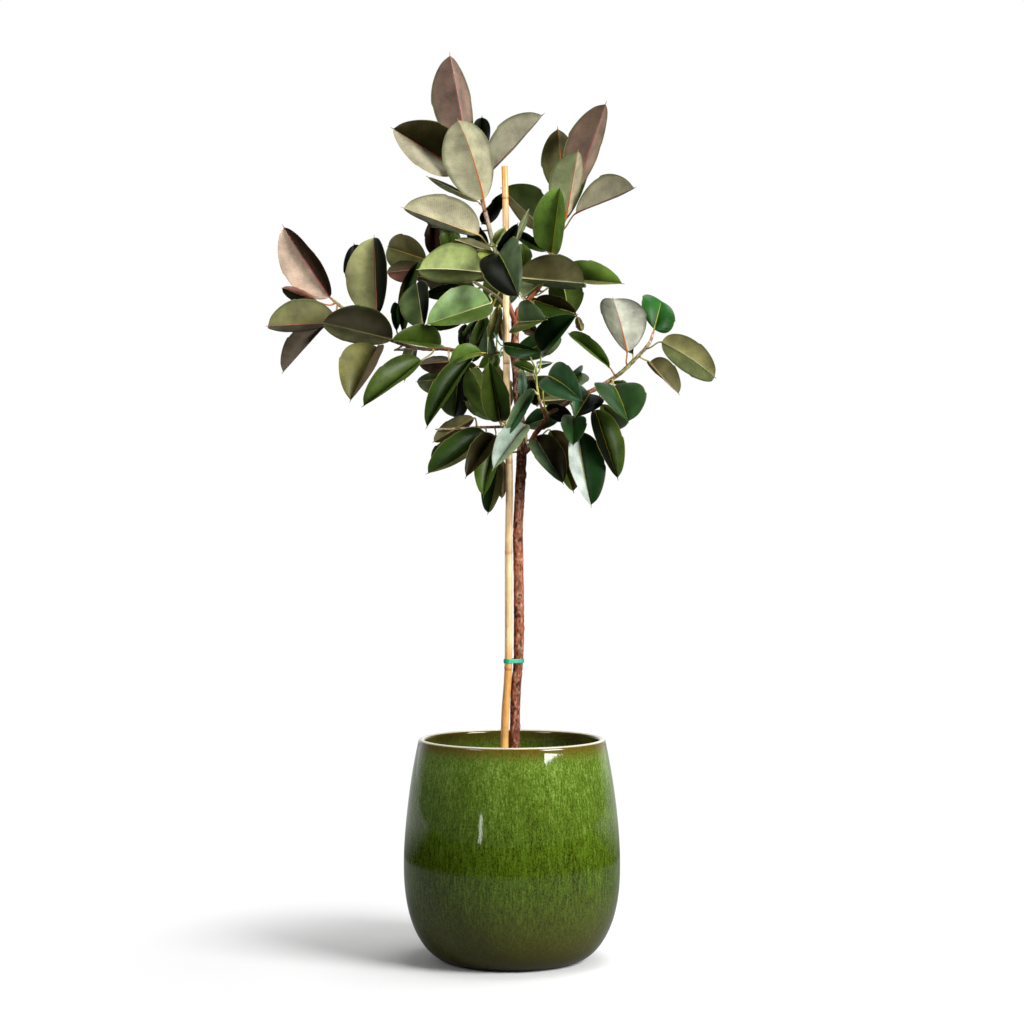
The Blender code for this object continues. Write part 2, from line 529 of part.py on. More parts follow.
def make_leaf(leaf, routes):
    """One leaf: a round petiole that widens into a folded blade with a drip tip."""
    base, tip, left, front = leaf_frame(leaf)
    lift = front * leaf.side
    middle = (base + tip) / 2 + left * (2 * leaf.bow) + lift * (2 * leaf.arch)
    start, away = routes[leaf.shoot].seat(leaf.start, base)
    reach = (base - start).length
    into = (middle - base).normalized()
    stalk = [start, start + away * reach * 0.35, base - into * reach * 0.3, base]
    left_turn = math.acos(max(-1.0, min(1.0, leaf.left / leaf.half)))
    right_turn = math.acos(max(-1.0, min(1.0, leaf.right / leaf.half)))
    left_half = left * math.cos(left_turn) + lift * math.sin(left_turn)
    right_half = -left * math.cos(right_turn) + lift * math.sin(right_turn)
    bm = bmesh.new()
    rings = []
    side = left
    for t in reversed(PETIOLE_STATIONS):
        centre = bezier(stalk, t)
        ahead = (bezier(stalk, min(t + 0.05, 1.0)) - bezier(stalk, max(t - 0.05, 0.0))).normalized()
        if t == 0.0:
            ahead = away
        side = (side - ahead * side.dot(ahead)).normalized()
        up = ahead.cross(side) * leaf.side
        ring = [bm.verts.new(centre + side * (PETIOLE_R * math.cos(a)) + up * (PETIOLE_R * math.sin(a)))
                for a in [math.pi * k / 4 for k in range(8)]]
        rings.insert(0, ring)
    for u in BLADE_STATIONS:
        centre = bezier([base, middle, tip], u)
        ahead = (bezier([base, middle, tip], u + 0.04) - bezier([base, middle, tip], u - 0.04)).normalized()
        up = (lift - ahead * lift.dot(ahead)).normalized()
        width = leaf.half * blade_share(leaf, u) + PETIOLE_R
        back = ahead * (-leaf.heart * (1 - u) ** 2)
        thick = up * BLADE_HALF_THICKNESS * (1 - 0.4 * u)
        edge_left, edge_right = left_half * width + back, right_half * width + back
        near_left, near_right = left_half * width * 0.5 + back * 0.3, right_half * width * 0.5 + back * 0.3
        ring = [centre + edge_left, centre + near_left + thick * 0.8, centre + thick,
                centre + near_right + thick * 0.8, centre + edge_right, centre + near_right - thick * 0.8,
                centre - thick * 1.6, centre + near_left - thick * 0.8]
        rings.append([bm.verts.new(p) for p in ring])
    skin(bm, rings)
    bm.faces.new(rings[0])
    point = bm.verts.new(tip)
    last = rings[-1]
    for i in range(len(last)):
        bm.faces.new((last[i], last[(i + 1) % len(last)], point))
    return add_object(leaf.name, bm, principled(leaf.name + "_cuticle", leaf.colour, 0.35))


def main():
    """Build the whole plant."""
    clear_scene()
    trunk = stem_route(TRUNK)
    cane = stem_route(CANE, 1)
    make_pot()
    make_soil((("trunk", trunk), ("cane", cane)))
    add_object("trunk", tube_body(trunk, trunk_swell), principled("trunk_bark", BARK, 0.85))
    make_cane(cane)
    make_lower_tie(trunk, cane)
    make_upper_tie(trunk, cane)
    routes = {"trunk": trunk}
    make_shoots(routes)
    for leaf in LEAVES:
        make_leaf(leaf, routes)


main()
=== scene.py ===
"""Looks of a potted rubber plant: a staked, branching Ficus elastica in a reactive-glazed pot.

Blender works in metres, +Z up. Shapes are worked out in centimetres and turned to metres once,
when their mesh is made. The origin is the centre of the pot's flat foot, +X is the plant's right
side and -Y its front. A place in a table is (x, depth, z): x and z are where the point lines up
for someone who stands in front of the pot, and depth is how far it lies behind the pot's middle
plane, as in the solids' own source.
"""
import json
import logging
import math
from collections import Counter
from dataclasses import dataclass, field
from enum import Enum, IntEnum
from typing import Any

import bpy
import numpy as np
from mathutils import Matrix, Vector
from numpy.typing import NDArray

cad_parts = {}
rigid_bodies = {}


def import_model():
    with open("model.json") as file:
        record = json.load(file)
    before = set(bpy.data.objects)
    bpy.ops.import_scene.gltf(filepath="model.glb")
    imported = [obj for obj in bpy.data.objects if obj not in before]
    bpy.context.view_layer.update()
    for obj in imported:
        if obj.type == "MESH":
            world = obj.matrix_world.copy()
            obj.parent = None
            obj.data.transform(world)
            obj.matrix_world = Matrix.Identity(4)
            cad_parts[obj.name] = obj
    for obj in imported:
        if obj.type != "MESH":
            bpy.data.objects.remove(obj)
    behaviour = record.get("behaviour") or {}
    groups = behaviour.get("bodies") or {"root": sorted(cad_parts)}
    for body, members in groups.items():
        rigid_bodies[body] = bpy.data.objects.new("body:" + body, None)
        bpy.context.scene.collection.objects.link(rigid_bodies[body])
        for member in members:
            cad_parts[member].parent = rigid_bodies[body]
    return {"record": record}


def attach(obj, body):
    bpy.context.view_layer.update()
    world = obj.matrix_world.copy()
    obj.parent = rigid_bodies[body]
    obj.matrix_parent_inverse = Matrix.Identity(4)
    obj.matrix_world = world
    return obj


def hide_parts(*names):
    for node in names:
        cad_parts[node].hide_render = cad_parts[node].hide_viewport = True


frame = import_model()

Array = NDArray[np.float64]
Faces = list[NDArray[np.int64]]
Place = tuple[float, float, float]

LOG = logging.getLogger("rubber_plant")
CM = 0.01
FULL_TURN = 2 * math.pi
EYE_DISTANCE = 440.0        # how far in front of the pot the layout is seen from, cm
EYE_HEIGHT = 87.0           # and how high above the floor, cm
BODY = "root"               # the plant and its pot have no joint, so they are one body
NOISE_CELLS = 64            # number of random values along each side of the noise's table
WHITE = "#ffffff"


class Seed(IntEnum):
    """Where the random draws of each texture start."""

    POT_WALL = 5
    SOIL_LUMPS = 11
    SOIL_CLODS = 12
    CRUMBS = 21
    CRUMB_TURNS = 22
    PERLITE_TURNS = 23
    CORK_PLATES = 31
    CORK_CRACKS = 32
    TRUNK_WAVER = 33
    CANE_WAVER = 41
    SHOOT_LUMPS = 50                    # and one more for each shoot
    LEAF_WAVES = 60                     # and one more for each leaf
    LEAF_CLOUDS = 61
    LEAF_TINTS = 900                    # and one more for each leaf


def linear(colour: str) -> Array:
    """Turn an sRGB colour, "#rrggbb", to linear red, green and blue."""
    coded = np.array([int(colour[i:i + 2], 16) for i in (1, 3, 5)]) / 255.0
    return np.where(coded <= 0.04045, coded / 12.92, ((coded + 0.055) / 1.055) ** 2.4)


def blend(first: Any, second: Any, share: Any) -> Any:
    """Go from the first to the second by a share.

    Args:
        first: Value at share 0.
        second: Value at share 1.
        share: How far to go.

    Returns:
        The blend, shaped as all three are together.
    """
    return first + (second - first) * share


def graded(at: Array, stops: Any, colours: Any) -> Array:
    """Read linear colours off a row of hex colours.

    Args:
        at: Where to read.
        stops: Where each colour of the row lies, in rising order.
        colours: The row of hex colours.

    Returns:
        Colours, three values for each place in at.
    """
    tones = np.array([linear(colour) for colour in colours])
    return np.stack([np.interp(at, stops, tones[:, k]) for k in range(3)], axis=-1)


def unit(vectors: Array) -> Array:
    """Scale vectors along the last axis to length one."""
    return vectors / np.maximum(np.linalg.norm(vectors, axis=-1, keepdims=True), 1e-9)


def square_to(vectors: Array, axis: Array) -> Array:
    """Unit vectors left when each vector loses its part along a unit axis."""
    return unit(vectors - axis * np.sum(vectors * axis, axis=-1, keepdims=True))


def sight(places: Any) -> Array:
    """Move tabled places (x, depth, z), cm, to their own depth along the line of sight.

    Each x, and each height above the eye's, grows by (distance + depth) / distance.
    """
    x, depth, z = np.moveaxis(np.asarray(places, float), -1, 0)
    spread = (EYE_DISTANCE + depth) / EYE_DISTANCE
    return np.stack([x * spread, depth, EYE_HEIGHT + (z - EYE_HEIGHT) * spread], axis=-1)


def around(count: int) -> Array:
    """Evenly spaced angles of one full turn."""
    return np.arange(count) * (FULL_TURN / count)


def turned(radius: Any, z: Any, angle: Array) -> Array:
    """Points about the upright axis.

    Args:
        radius: Their distances from it, cm.
        z: Their heights, cm.
        angle: Their angles from +X towards +Y.

    Returns:
        Points, three values for each radius and angle together.
    """
    x, y = radius * np.cos(angle), radius * np.sin(angle)
    return np.stack([x, y, z + 0 * x], axis=-1)


def value_noise(x: Any, y: Any, seed: int, wrap: int = NOISE_CELLS) -> Array:
    """Smooth random heights over a plane.

    Random values sit where the whole-number lines cross, and a point takes the blend of its four
    corners, each weighted by 3t^2 - 2t^3 in both directions.

    Args:
        x: Position across the cells.
        y: Position along the cells.
        seed: Picks the random values.
        wrap: Number of cells after which x repeats, at most NOISE_CELLS.

    Returns:
        Heights between -1 and 1, shaped as x and y are together.
    """
    table = np.random.default_rng(seed).uniform(-1.0, 1.0, (NOISE_CELLS, NOISE_CELLS))
    column, row = np.floor(x).astype(int), np.floor(y).astype(int)
    across, up = (t * t * (3.0 - 2.0 * t) for t in (x - column, y - row))
    left, right = column % wrap, (column + 1) % wrap
    lower, upper = (table[left, line] * (1.0 - across) + table[right, line] * across
                    for line in (row % NOISE_CELLS, (row + 1) % NOISE_CELLS))
    return lower * (1.0 - up) + upper * up


def wall_noise(angle: Array, cells: int, along: Array, seed: int) -> Array:
    """Smooth random heights on a wall that closes on itself.

    Args:
        angle: Place round the wall.
        cells: Number of random values to the turn.
        along: Position along the wall, in cells.
        seed: Picks the random values.

    Returns:
        Heights between -1 and 1.
    """
    return value_noise(angle * cells / FULL_TURN, along, seed, cells)


def bezier(corners: list[Array], t: Array) -> Array:
    """Points at shares t of a Bezier curve, by blending neighbouring corners until one is left."""
    rows = [np.broadcast_to(corner, (len(t), 3)) for corner in corners]
    while len(rows) > 1:
        rows = [blend(a, b, t[:, None]) for a, b in zip(rows, rows[1:])]
    return rows[0]


@dataclass
class Route:
    """A smooth centre line: points evenly spaced along it and a radius at each, cm."""

    points: Array
    radii: Array

    @classmethod
    def through(cls, places: Array, radii: tuple[float, ...], spacing: float) -> "Route":
        """Thread a Catmull-Rom curve through places and read it at even steps.

        Each span is the cubic whose end slopes are half the way between its neighbours.

        Args:
            places: Points that the line passes through, cm.
            radii: Radii from the first point to the last, spread evenly over the spans, cm.
            spacing: Length of a step, cm.

        Returns:
            The route.
        """
        ends = np.vstack([2 * places[0] - places[1], places, 2 * places[-1] - places[-2]])
        t = (np.arange(16) / 16.0)[None, :, None]
        p0, p1, p2, p3 = (ends[i:len(ends) - 3 + i, None, :] for i in range(4))
        curve = 0.5 * (2 * p1 + (p2 - p0) * t + (2 * p0 - 5 * p1 + 4 * p2 - p3) * t ** 2
                       + (3 * p1 - p0 - 3 * p2 + p3) * t ** 3)
        curve = np.vstack([curve.reshape(-1, 3), places[-1:]])
        run = travelled(curve)
        even = np.linspace(0.0, run[-1], max(int(run[-1] / spacing), 12))
        thick = np.interp(np.linspace(0, 1, len(curve)), np.linspace(0, 1, len(radii)), radii)
        points = np.stack([np.interp(even, run, curve[:, k]) for k in range(3)], axis=1)
        return cls(points, np.interp(even, run, thick))

    @property
    def tangents(self) -> Array:
        """Direction of the line at each point."""
        return unit(np.gradient(self.points, axis=0))

    def sweep(self, radii: Array) -> Array:
        """Rings about the line: centre + side r cos(a) + other r sin(a).

        Side is one of the three main directions, made square to the line at each point.

        Args:
            radii: Radius per station and side, shaped (stations, sides), cm.

        Returns:
            Ring points shaped (stations, sides, 3), cm.
        """
        tangents = self.tangents
        axis = np.eye(3)[np.argmin(np.abs(tangents).max(axis=0))]
        side = square_to(np.broadcast_to(axis, tangents.shape), tangents)
        other = np.cross(tangents, side)
        angle = around(radii.shape[1])[None, :, None]
        reach = side[:, None] * np.cos(angle) + other[:, None] * np.sin(angle)
        return self.points[:, None] + radii[:, :, None] * reach

    def at(self, share: float) -> tuple[Array, Array, float]:
        """Centre, direction and radius at a share of the length."""
        where = share * (len(self.points) - 1)
        low = min(int(where), len(self.points) - 2)
        part = where - low
        centre = self.points[low] * (1 - part) + self.points[low + 1] * part
        radius = self.radii[low] * (1 - part) + self.radii[low + 1] * part
        return centre, unit(self.points[low + 1] - self.points[low]), float(radius)

    def seat(self, share: float, towards: Array) -> tuple[Array, Array]:
        """Find where a side piece starts on the bark.

        Args:
            share: Share of this route's length at which it starts.
            towards: The point that it heads for.

        Returns:
            The starting point, just under the bark, and the direction in which it leaves.
        """
        centre, tangent, radius = self.at(share)
        if share >= 1.0:
            return centre - tangent * 0.1, tangent
        away = square_to(towards - centre, tangent)
        return centre + away * radius * 0.8, away


def travelled(points: Array) -> Array:
    """Length of the way from the first point to each."""
    return np.append(0.0, np.cumsum(np.linalg.norm(np.diff(points, axis=0), axis=1)))


@dataclass
class Patch:
    """A run of points and faces that becomes part of one piece.

    Attributes:
        points: Points in cm, one per row.
        faces: Arrays of point numbers, of three or four columns each.
        values: Named values at the points, three columns each.
        slots: Finish number of each array in faces, or nothing for the first finish.
    """

    points: Array
    faces: Faces
    values: dict[str, Array] = field(default_factory=dict)
    slots: list[int] = field(default_factory=list)

    def numbers(self) -> Array:
        """Finish number of every face."""
        slots = self.slots or [0] * len(self.faces)
        return np.repeat(slots, [len(run) for run in self.faces])


def ring_quads(rows: int, columns: int) -> NDArray[np.int64]:
    """Quads of a grid whose rows are rings: two neighbours of one ring and the same of the next.

    Args:
        rows: Number of rings.
        columns: Points in a ring, counted anticlockwise about the way the rings run.

    Returns:
        Quads that face outwards, ring by ring.
    """
    start = (np.arange(rows - 1) * columns)[:, None]
    here = np.arange(columns)[None, :]
    there = (here + 1) % columns
    quads = [start + here, start + there, start + columns + there, start + columns + here]
    return np.stack(quads, axis=-1).reshape(-1, 4)


def closed_tube(rings: Array, values: dict[str, Array] | None = None) -> Patch:
    """A skin over a run of rings, closed at both ends by a fan about the ring's middle.

    Args:
        rings: Ring points, shaped (rings, sides, 3), cm.
        values: Named values shaped (rings, sides, 3).

    Returns:
        The closed skin.
    """
    rows, columns = rings.shape[:2]

    def with_ends(grid: Array) -> Array:
        """Grid rows in order, then the mean of the first ring and of the last."""
        return np.vstack([grid.reshape(-1, 3), grid[0].mean(axis=0), grid[-1].mean(axis=0)])

    here = np.arange(columns)
    there = (here + 1) % columns
    hub, last = rows * columns, (rows - 1) * columns
    first_fan = np.stack([np.full(columns, hub), there, here], axis=-1)
    last_fan = np.stack([np.full(columns, hub + 1), last + here, last + there], axis=-1)
    dressed = {name: with_ends(grid) for name, grid in (values or {}).items()}
    return Patch(with_ends(rings), [ring_quads(rows, columns), first_fan, last_fan], dressed)


def scatter(places: Array, sizes: Array, seed: int) -> Patch:
    """Small lumps, each turned at random about three axes, scaled and set down.

    A lump is a ball of few faces: rings of radius sin(b) at height -cos(b), closed at both poles.

    Args:
        places: Where each lump goes, cm.
        sizes: Scale of each lump along x, y and z.
        seed: Picks the turns.

    Returns:
        All the lumps as one patch.
    """
    b = np.linspace(0.35, math.pi - 0.35, 4)[:, None]
    lump = closed_tube(turned(np.sin(b), -np.cos(b), around(6)[None, :]))
    turns = np.linalg.qr(np.random.default_rng(seed).normal(size=(len(places), 3, 3)))[0]
    turns *= np.sign(np.linalg.det(turns))[:, None, None]
    points = np.einsum("kij,kpj->kpi", turns, lump.points[None] * sizes[:, None, :]) + places[:, None, :]
    shift = (np.arange(len(places)) * len(lump.points))[:, None, None]
    return Patch(points.reshape(-1, 3), [(f[None] + shift).reshape(-1, f.shape[1]) for f in lump.faces])


def into_scene(name: str, data: bpy.types.ID) -> bpy.types.Object:
    """Put a mesh, a light or a camera into the scene as an object of that name."""
    thing = bpy.data.objects.new(name, data)
    bpy.context.scene.collection.objects.link(thing)
    return thing


def add_piece(name: str, patches: list[Patch], finishes: list["Finish"], slot: str,
              *stands_for: str, sharp: float = 50.0) -> None:
    """Make one piece of the plant from its patches and hang it on the plant's body.

    Args:
        name: Name of the piece.
        patches: Its skins.
        finishes: Its finishes, in the order of the patches' slots.
        slot: The record's material slot that the piece belongs to; not used.
        stands_for: Solids that the piece is shown instead of.
        sharp: Edges that turn by more than this many degrees stay crisp.
    """
    mesh = bpy.data.meshes.new(name)
    counts = np.append(0, np.cumsum([len(patch.points) for patch in patches]))
    faces = [f + start for patch, start in zip(patches, counts) for f in patch.faces]
    loops = np.concatenate([f.ravel() for f in faces])
    sizes = np.concatenate([np.full(len(f), f.shape[1]) for f in faces])
    mesh.vertices.add(int(counts[-1]))
    mesh.vertices.foreach_set("co", (np.vstack([p.points for p in patches]) * CM).ravel())
    mesh.loops.add(len(loops))
    mesh.loops.foreach_set("vertex_index", loops)
    mesh.polygons.add(len(sizes))
    mesh.polygons.foreach_set("loop_start", np.append(0, np.cumsum(sizes)[:-1]))
    mesh.polygons.foreach_set("material_index", np.concatenate([p.numbers() for p in patches]))
    mesh.update(calc_edges=True)
    for label in sorted({key for patch in patches for key in patch.values}):
        store_values(mesh, label, np.vstack([patch.values[label] for patch in patches]), loops)
    mesh.validate()
    mesh.shade_smooth()
    mesh.set_sharp_from_angle(angle=math.radians(sharp))
    for finish in finishes:
        mesh.materials.append(finish.material())
    piece = into_scene(name, mesh)
    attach(piece, BODY)
    if stands_for:
        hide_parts(*stands_for)
    LOG.info("%s: %d points, %d faces", name, len(mesh.vertices), len(mesh.polygons))


def store_values(mesh: bpy.types.Mesh, label: str, rows: Array, loops: NDArray[np.int64]) -> None:
    """Store named values on a mesh: "uv" as its UV map, "blade" as vectors, the rest as colours.

    Args:
        mesh: The mesh.
        label: Name of the values.
        rows: Three values per point.
        loops: Point number of each face corner.
    """
    if label == "uv":
        mesh.uv_layers.new(name="uv").data.foreach_set("uv", rows[loops, :2].ravel())
    elif label == "blade":
        mesh.attributes.new(label, "FLOAT_VECTOR", "POINT").data.foreach_set("vector", rows.ravel())
    else:
        colours = np.hstack([rows, np.ones((len(rows), 1))])
        mesh.attributes.new(label, "FLOAT_COLOR", "POINT").data.foreach_set("color", colours.ravel())


@dataclass(frozen=True)
class Graph:
    """A node tree: one helper that adds a node, and short names for the kinds used most."""

    tree: bpy.types.NodeTree

    def plug(self, node: bpy.types.Node, inputs: dict[Any, Any]) -> None:
        """Fill a node's inputs, by name or number, each with a value, a hex colour or a link."""
        for key, value in inputs.items():
            if isinstance(value, bpy.types.NodeSocket):
                self.tree.links.new(value, node.inputs[key])
            elif isinstance(value, str):
                node.inputs[key].default_value = (*linear(value), 1.0)
            else:
                node.inputs[key].default_value = value

    def add(self, kind: str, inputs: dict[Any, Any], out: int | str = 0,
            **settings: Any) -> bpy.types.NodeSocket:
        """Add one node.

        Args:
            kind: Its Blender type, without the "ShaderNode" in front.
            inputs: Values, hex colours and links for its inputs.
            out: Which of its outputs goes on, by name or number.
            settings: Properties of the node.

        Returns:
            That output.
        """
        node = self.tree.nodes.new("ShaderNode" + kind)
        for key, value in settings.items():
            setattr(node, key, value)
        self.plug(node, inputs)
        return node.outputs[out]

    def place(self) -> bpy.types.NodeSocket:
        """Place of the point in the piece's own metres."""
        return self.add("TexCoord", {}, "Object")

    def stored(self, name: str, out: str = "Color") -> bpy.types.NodeSocket:
        """Values that the mesh carries under a name."""
        return self.add("Attribute", {}, out, attribute_name=name)

    def split(self, vector: bpy.types.NodeSocket) -> bpy.types.bpy_prop_collection:
        """The three parts of a vector."""
        return self.add("SeparateXYZ", {0: vector}).node.outputs

    def upright(self, place: bpy.types.NodeSocket, share: float) -> bpy.types.NodeSocket:
        """Shrink heights to a share, which draws a texture out upright."""
        return self.add("Mapping", {"Vector": place, "Scale": (1.0, 1.0, share)})

    def distance(self, place: bpy.types.NodeSocket) -> bpy.types.NodeSocket:
        """Length of a vector."""
        return self.add("VectorMath", {0: place}, "Value", operation="LENGTH")

    def noise(self, place: bpy.types.NodeSocket, scale: float, detail: float = 2.0,
              roughness: float = 0.5) -> bpy.types.NodeSocket:
        """Noise between 0 and 1.

        Args:
            place: Where to read it.
            scale: Number of its cells to the metre.
            detail: Number of finer layers on top.
            roughness: Weight of each finer layer.

        Returns:
            The noise.
        """
        return self.add("TexNoise", {"Vector": place, "Scale": scale, "Detail": detail,
                                     "Roughness": roughness})

    def remap(self, value: Any, low: Any, high: Any, first: float = 0.0, last: float = 1.0,
              **settings: Any) -> bpy.types.NodeSocket:
        """Go from one value to another while a third crosses a span, and stay there beyond it.

        Args:
            value: The value that crosses the span.
            low: Where the span begins.
            high: Where it ends.
            first: Result at its beginning.
            last: Result at its end.
            settings: Properties of the node.

        Returns:
            The result.
        """
        return self.add("MapRange", {0: value, 1: low, 2: high, 3: first, 4: last}, **settings)

    def calc(self, operation: str, *values: Any, **settings: Any) -> bpy.types.NodeSocket:
        """Work out one operation.

        Args:
            operation: Blender's name for it.
            values: Its one to three values.
            settings: Properties of the node.

        Returns:
            The result.
        """
        return self.add("Math", dict(enumerate(values)), operation=operation, **settings)

    def mix(self, share: Any, first: Any, last: Any) -> bpy.types.NodeSocket:
        """Blend two colours.

        Args:
            share: How far to go.
            first: Colour at share 0.
            last: Colour at share 1.

        Returns:
            The blend.
        """
        return self.add("Mix", {0: share, 6: first, 7: last}, 2, data_type="RGBA")

    def lighten(self, colour: Any, by: bpy.types.NodeSocket) -> bpy.types.NodeSocket:
        """Multiply a colour's brightness."""
        return self.add("HueSaturation", {"Value": by, "Color": colour})

    def ramp(self, value: bpy.types.NodeSocket, *stops: tuple[float, str]) -> bpy.types.NodeSocket:
        """Read a colour off a ramp of positions and hex colours."""
        colour = self.add("ValToRGB", {0: value})
        elements = colour.node.color_ramp.elements
        for i, (position, tone) in enumerate(stops):
            stop = elements[i] if i < 2 else elements.new(position)
            stop.position = position
            stop.color = (*linear(tone), 1.0)
        return colour

    def bump(self, height: bpy.types.NodeSocket, depth: float, strength: float = 1.0) -> bpy.types.NodeSocket:
        """Lift the surface.

        Args:
            height: How high it lies, from 0 to 1.
            depth: What a height of 1 comes to, m.
            strength: Share of the lift that is felt.

        Returns:
            The lifted normal.
        """
        return self.add("Bump", {"Height": height, "Distance": depth, "Strength": strength})


class Finish:
    """A material that is made once and then shared by every piece that wears it."""

    name: str

    def material(self) -> bpy.types.Material:
        """The finish's material, built on its first use."""
        found = bpy.data.materials.get(self.name)
        if found is None:
            found = bpy.data.materials.new(self.name)
            found.use_nodes = True
            graph = Graph(found.node_tree)
            graph.plug(found.node_tree.nodes["Principled BSDF"], self.dress(graph))
        return found

    def dress(self, graph: Graph) -> dict[str, Any]:
        """Add the finish's nodes.

        Args:
            graph: The material's node tree.

        Returns:
            Values and links for its Principled shader.
        """
        raise NotImplementedError


@dataclass(frozen=True)
class ReactiveGlaze(Finish):
    """Reactive glaze: stoneware dipped in copper green over iron brown and fired glossy.

    The glaze runs while it melts, which gives the eye upright streaks, dark iron specks, brown
    where it pulls thin off the lip, and a pale clay edge on the lip itself.
    """

    name: str = "copper_green_reactive_glaze"
    greens: tuple[tuple[float, str], ...] = (
        (0.0, "#2c3606"), (0.35, "#475c0e"), (0.7, "#5d7a21"), (1.0, "#88a048"))
    foot: str = "#4a430e"               # painted reflection of the pale floor: olive towards the foot
    thin: str = "#62400f"               # iron brown where it is thin
    clay: str = "#d8d6be"               # bare edge of the lip
    speck: str = "#3c3408"
    inside: str = "#241f02"             # painted shade inside the mouth, below the lip
    lip_height: float = 0.412           # top of the lip, m
    bore: float = 0.172                 # radius of the mouth, m
    run_mm: float = 22.0                # width of a broad run of colour
    streak_mm: float = 1.8              # width of a fine streak
    speck_mm: float = 1.2               # size of an iron speck
    roughness: float = 0.05
    ior: float = 1.52

    def dress(self, graph: Graph) -> dict[str, Any]:
        """Blend runs, streaks, specks and the brown below the lip by height, with a painted reflection of the
        floor towards the foot and painted shade inside the mouth.
        """
        place = graph.place()
        height = graph.split(place)[2]
        drawn = graph.upright(place, 0.16)
        runs = graph.noise(drawn, 500 / self.run_mm, 3.0)
        streaks = graph.noise(drawn, 500 / self.streak_mm, 2.0)
        grain = graph.noise(graph.upright(place, 0.65), 500 / self.speck_mm, 1.0)
        depth = graph.calc("MULTIPLY_ADD", runs, 0.5, streaks)
        depth = graph.calc("MULTIPLY_ADD", grain, 1.3, depth)
        depth = graph.calc("ADD", graph.remap(height, 0.2, 0.37, -0.14, 0.2), depth)
        colour = graph.ramp(graph.remap(depth, 0.96, 1.88), *self.greens)
        # painted reflection: olive towards the foot, standing in for the pale floor seen in the glaze
        colour = graph.mix(graph.remap(height, 0.16, 0.0), colour, self.foot)
        ragged = graph.calc("MULTIPLY_ADD", streaks, 0.045, height)
        thin = graph.remap(ragged, self.lip_height - 0.006, self.lip_height + 0.024)
        colour = graph.mix(thin, colour, self.thin)
        edge = graph.remap(height, self.lip_height - 0.0034, self.lip_height - 0.0016)
        colour = graph.mix(edge, colour, self.clay)
        colour = graph.mix(graph.remap(grain, 0.6, 0.68, 0.0, 0.35), colour, self.speck)
        # painted shade: below the lip the inside of the mouth is darkened towards the inside colour
        reach = graph.distance(graph.upright(place, 0.0))
        painted_inside_shade = graph.remap(reach, self.bore + 0.0005, self.bore - 0.0005, 0.0, 0.6)
        painted_inside_shade = graph.remap(graph.calc("MULTIPLY", painted_inside_shade, height), 0.18, 0.24, 0.0, 0.6)
        painted_inside_shade = graph.calc("SUBTRACT", painted_inside_shade, edge, use_clamp=True)
        return {"Base Color": graph.mix(painted_inside_shade, colour, self.inside), "Roughness": self.roughness,
                "IOR": self.ior, "Normal": graph.bump(streaks, 0.00012, 0.5)}


@dataclass(frozen=True)
class LeafSkin(Finish):
    """Leaf skin of a rubber plant: a thick blade under a waxed cuticle above, matt below.

    Fine side veins run straight from the rib to the margin. The wax gives the eye a broad soft
    gloss. The colour of each half, with the light and shade on it painted in, and that of the rib come with
    the leaf, as "tone" and "rib".
    """

    name: str
    roughness: float
    coat: float                         # weight of the wax
    specular: float                     # how much the bare skin reflects
    relief: float                       # depth of the side veins, m
    vein_light: float                   # how much a side vein brightens the blade
    vein_mm: float = 4.5                # spacing of the side veins
    vein_slant: float = 0.45            # how far they lean to the tip, as a share of their reach
    painted_light_patch_mm: float = 30.0             # size of a cloud of painted light and shade on the blade
    mark_mm: float = 1.7                # size of a spot
    rib_mm: float = 2.4                 # half the rib's width at the leaf's base
    uv_mm: float = 200.0                # length of blade that one unit of the UV map covers
    spot: str = "#4a3f1c"
    margin: str = "#8a8250"

    def dress(self, graph: Graph) -> dict[str, Any]:
        """Lay clouds of painted light and shade, side veins, spots, a dry margin and the rib over the leaf's
        tone.
        """
        place, tone = graph.place(), graph.stored("tone")
        chart = graph.split(graph.add("UVMap", {}, uv_map="uv"))
        side, share, marks = graph.split(graph.stored("blade", "Vector"))
        across = graph.calc("ABSOLUTE", graph.calc("SUBTRACT", chart[0], 0.5))

        turn = FULL_TURN * self.uv_mm / self.vein_mm
        wave = graph.calc("MULTIPLY", across, -self.vein_slant * turn)
        wave = graph.calc("MULTIPLY_ADD", chart[1], turn, wave)
        veins = graph.remap(graph.calc("SINE", wave), 0.35, 1.0)
        # painted light and shade: clouds lighten and darken the blade as reflections and shading would
        clouds = graph.noise(place, 1000 / self.painted_light_patch_mm, 5.0, 0.6)
        bright = graph.remap(clouds, 0.32, 0.68, 0.56, 1.08)
        bright = graph.calc("MULTIPLY_ADD", veins, self.vein_light, bright)
        colour = graph.lighten(tone, bright)

        spots = graph.remap(graph.noise(place, 500 / self.mark_mm), 0.62, 0.68)
        colour = graph.mix(graph.calc("MULTIPLY", spots, marks), colour, self.spot)
        margin = graph.remap(graph.calc("ABSOLUTE", side), 0.955, 0.99, 0.0, 0.55)
        colour = graph.mix(margin, colour, self.margin)

        wide = self.rib_mm / self.uv_mm
        wide = graph.remap(share, 0.0, 0.97, wide, 0.1 * wide)
        on_rib = graph.remap(across, graph.calc("MULTIPLY", wide, 0.45), wide, 1.0, 0.0)
        colour = graph.mix(on_rib, colour, graph.stored("rib"))

        height = graph.calc("MULTIPLY_ADD", graph.noise(place, 600.0), 0.3, veins)
        gloss = graph.remap(graph.add("RGBToBW", {0: tone}), 0.005, 0.09, 0.3 * self.specular,
                            self.specular)
        return {"Base Color": colour, "Roughness": self.roughness, "IOR": 1.45,
                "Specular IOR Level": gloss, "Coat Weight": self.coat, "Coat Roughness": 0.22,
                "Normal": graph.bump(height, self.relief)}


